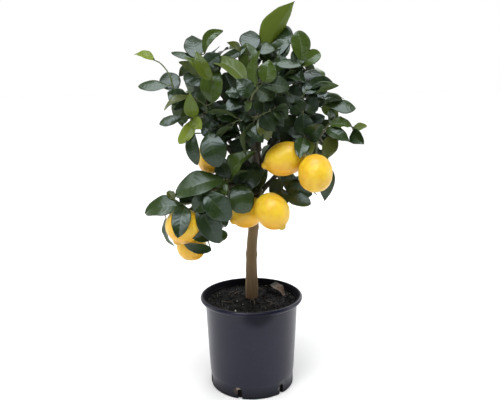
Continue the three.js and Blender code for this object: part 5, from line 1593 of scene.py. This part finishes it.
def make_world():
    """Soft white light all round, and a white backdrop."""
    world = bpy.data.worlds.new("studio")
    world.use_nodes = True
    tree = world.node_tree
    background = tree.nodes["Background"]
    background.inputs["Color"].default_value = (1, 1, 1, 1)
    way = tree.nodes.new("ShaderNodeTexCoord")
    split = tree.nodes.new("ShaderNodeSeparateXYZ")
    fade = tree.nodes.new("ShaderNodeMapRange")
    for socket, value in (("From Min", -0.2), ("From Max", 0.9), ("To Min", 0.09), ("To Max", 0.8)):
        fade.inputs[socket].default_value = value
    tree.links.new(way.outputs["Generated"], split.inputs[0])
    tree.links.new(split.outputs["Y"], fade.inputs["Value"])
    tree.links.new(fade.outputs[0], background.inputs["Strength"])
    backdrop = tree.nodes.new("ShaderNodeBackground")
    backdrop.inputs["Color"].default_value = (1, 1, 1, 1)
    backdrop.inputs["Strength"].default_value = 1.0
    sight = tree.nodes.new("ShaderNodeLightPath")
    mix = tree.nodes.new("ShaderNodeMixShader")
    tree.links.new(sight.outputs["Is Camera Ray"], mix.inputs[0])
    tree.links.new(background.outputs[0], mix.inputs[1])
    tree.links.new(backdrop.outputs[0], mix.inputs[2])
    tree.links.new(mix.outputs[0], tree.nodes["World Output"].inputs["Surface"])
    bpy.context.scene.world = world


def make_lights():
    sky = bpy.data.lights.new("sky_panel", "SUN")
    sky.energy, sky.angle, sky.color = 3.3, math.radians(46), (0.98, 0.99, 1.0)
    sky_light = bpy.data.objects.new("sky_panel", sky)
    sky_light.rotation_euler = (math.radians(14), 0, 0)
    bpy.context.scene.collection.objects.link(sky_light)
    for row in AREA_LIGHTS:
        area_light(*row)
    view = bpy.context.scene.view_settings
    view.view_transform, view.look = "Standard", "None"


def make_camera():
    data = bpy.data.cameras.new("camera")
    data.sensor_fit, data.sensor_width = "HORIZONTAL", SENSOR_WIDE
    data.lens = FOCAL / IMAGE_WIDE * SENSOR_WIDE
    data.clip_start, data.clip_end = 0.05, 60
    camera = bpy.data.objects.new("camera", data)
    level_right = Vector((1, 0, 0))
    level_up = Vector((0, math.sin(PITCH), math.cos(PITCH)))
    back = Vector((0, -math.cos(PITCH), math.sin(PITCH)))
    right = level_right * math.cos(ROLL) + level_up * math.sin(ROLL)
    up = level_up * math.cos(ROLL) - level_right * math.sin(ROLL)
    turn = Matrix((right, up, back)).transposed().to_4x4()
    camera.matrix_world = Matrix.Translation(Vector(EYE * METRE)) @ turn
    bpy.context.scene.collection.objects.link(camera)
    bpy.context.scene.camera = camera


make_camera()
make_floor()
make_world()
make_lights()
bark, twig, calyx = bark_material(), twig_material(), calyx_material()
make_pot(pot_material())
make_soil(soil_material(), pebble_material())
make_dried_leaf()
make_trunk(bark)
for branch_name in BRANCHES:
    make_branch(branch_name, bark)
for lemon_name, lemon_row in LEMONS.items():
    make_lemon(lemon_name, lemon_row)
    make_stalk(lemon_name, lemon_row, twig, calyx)
make_foliage()
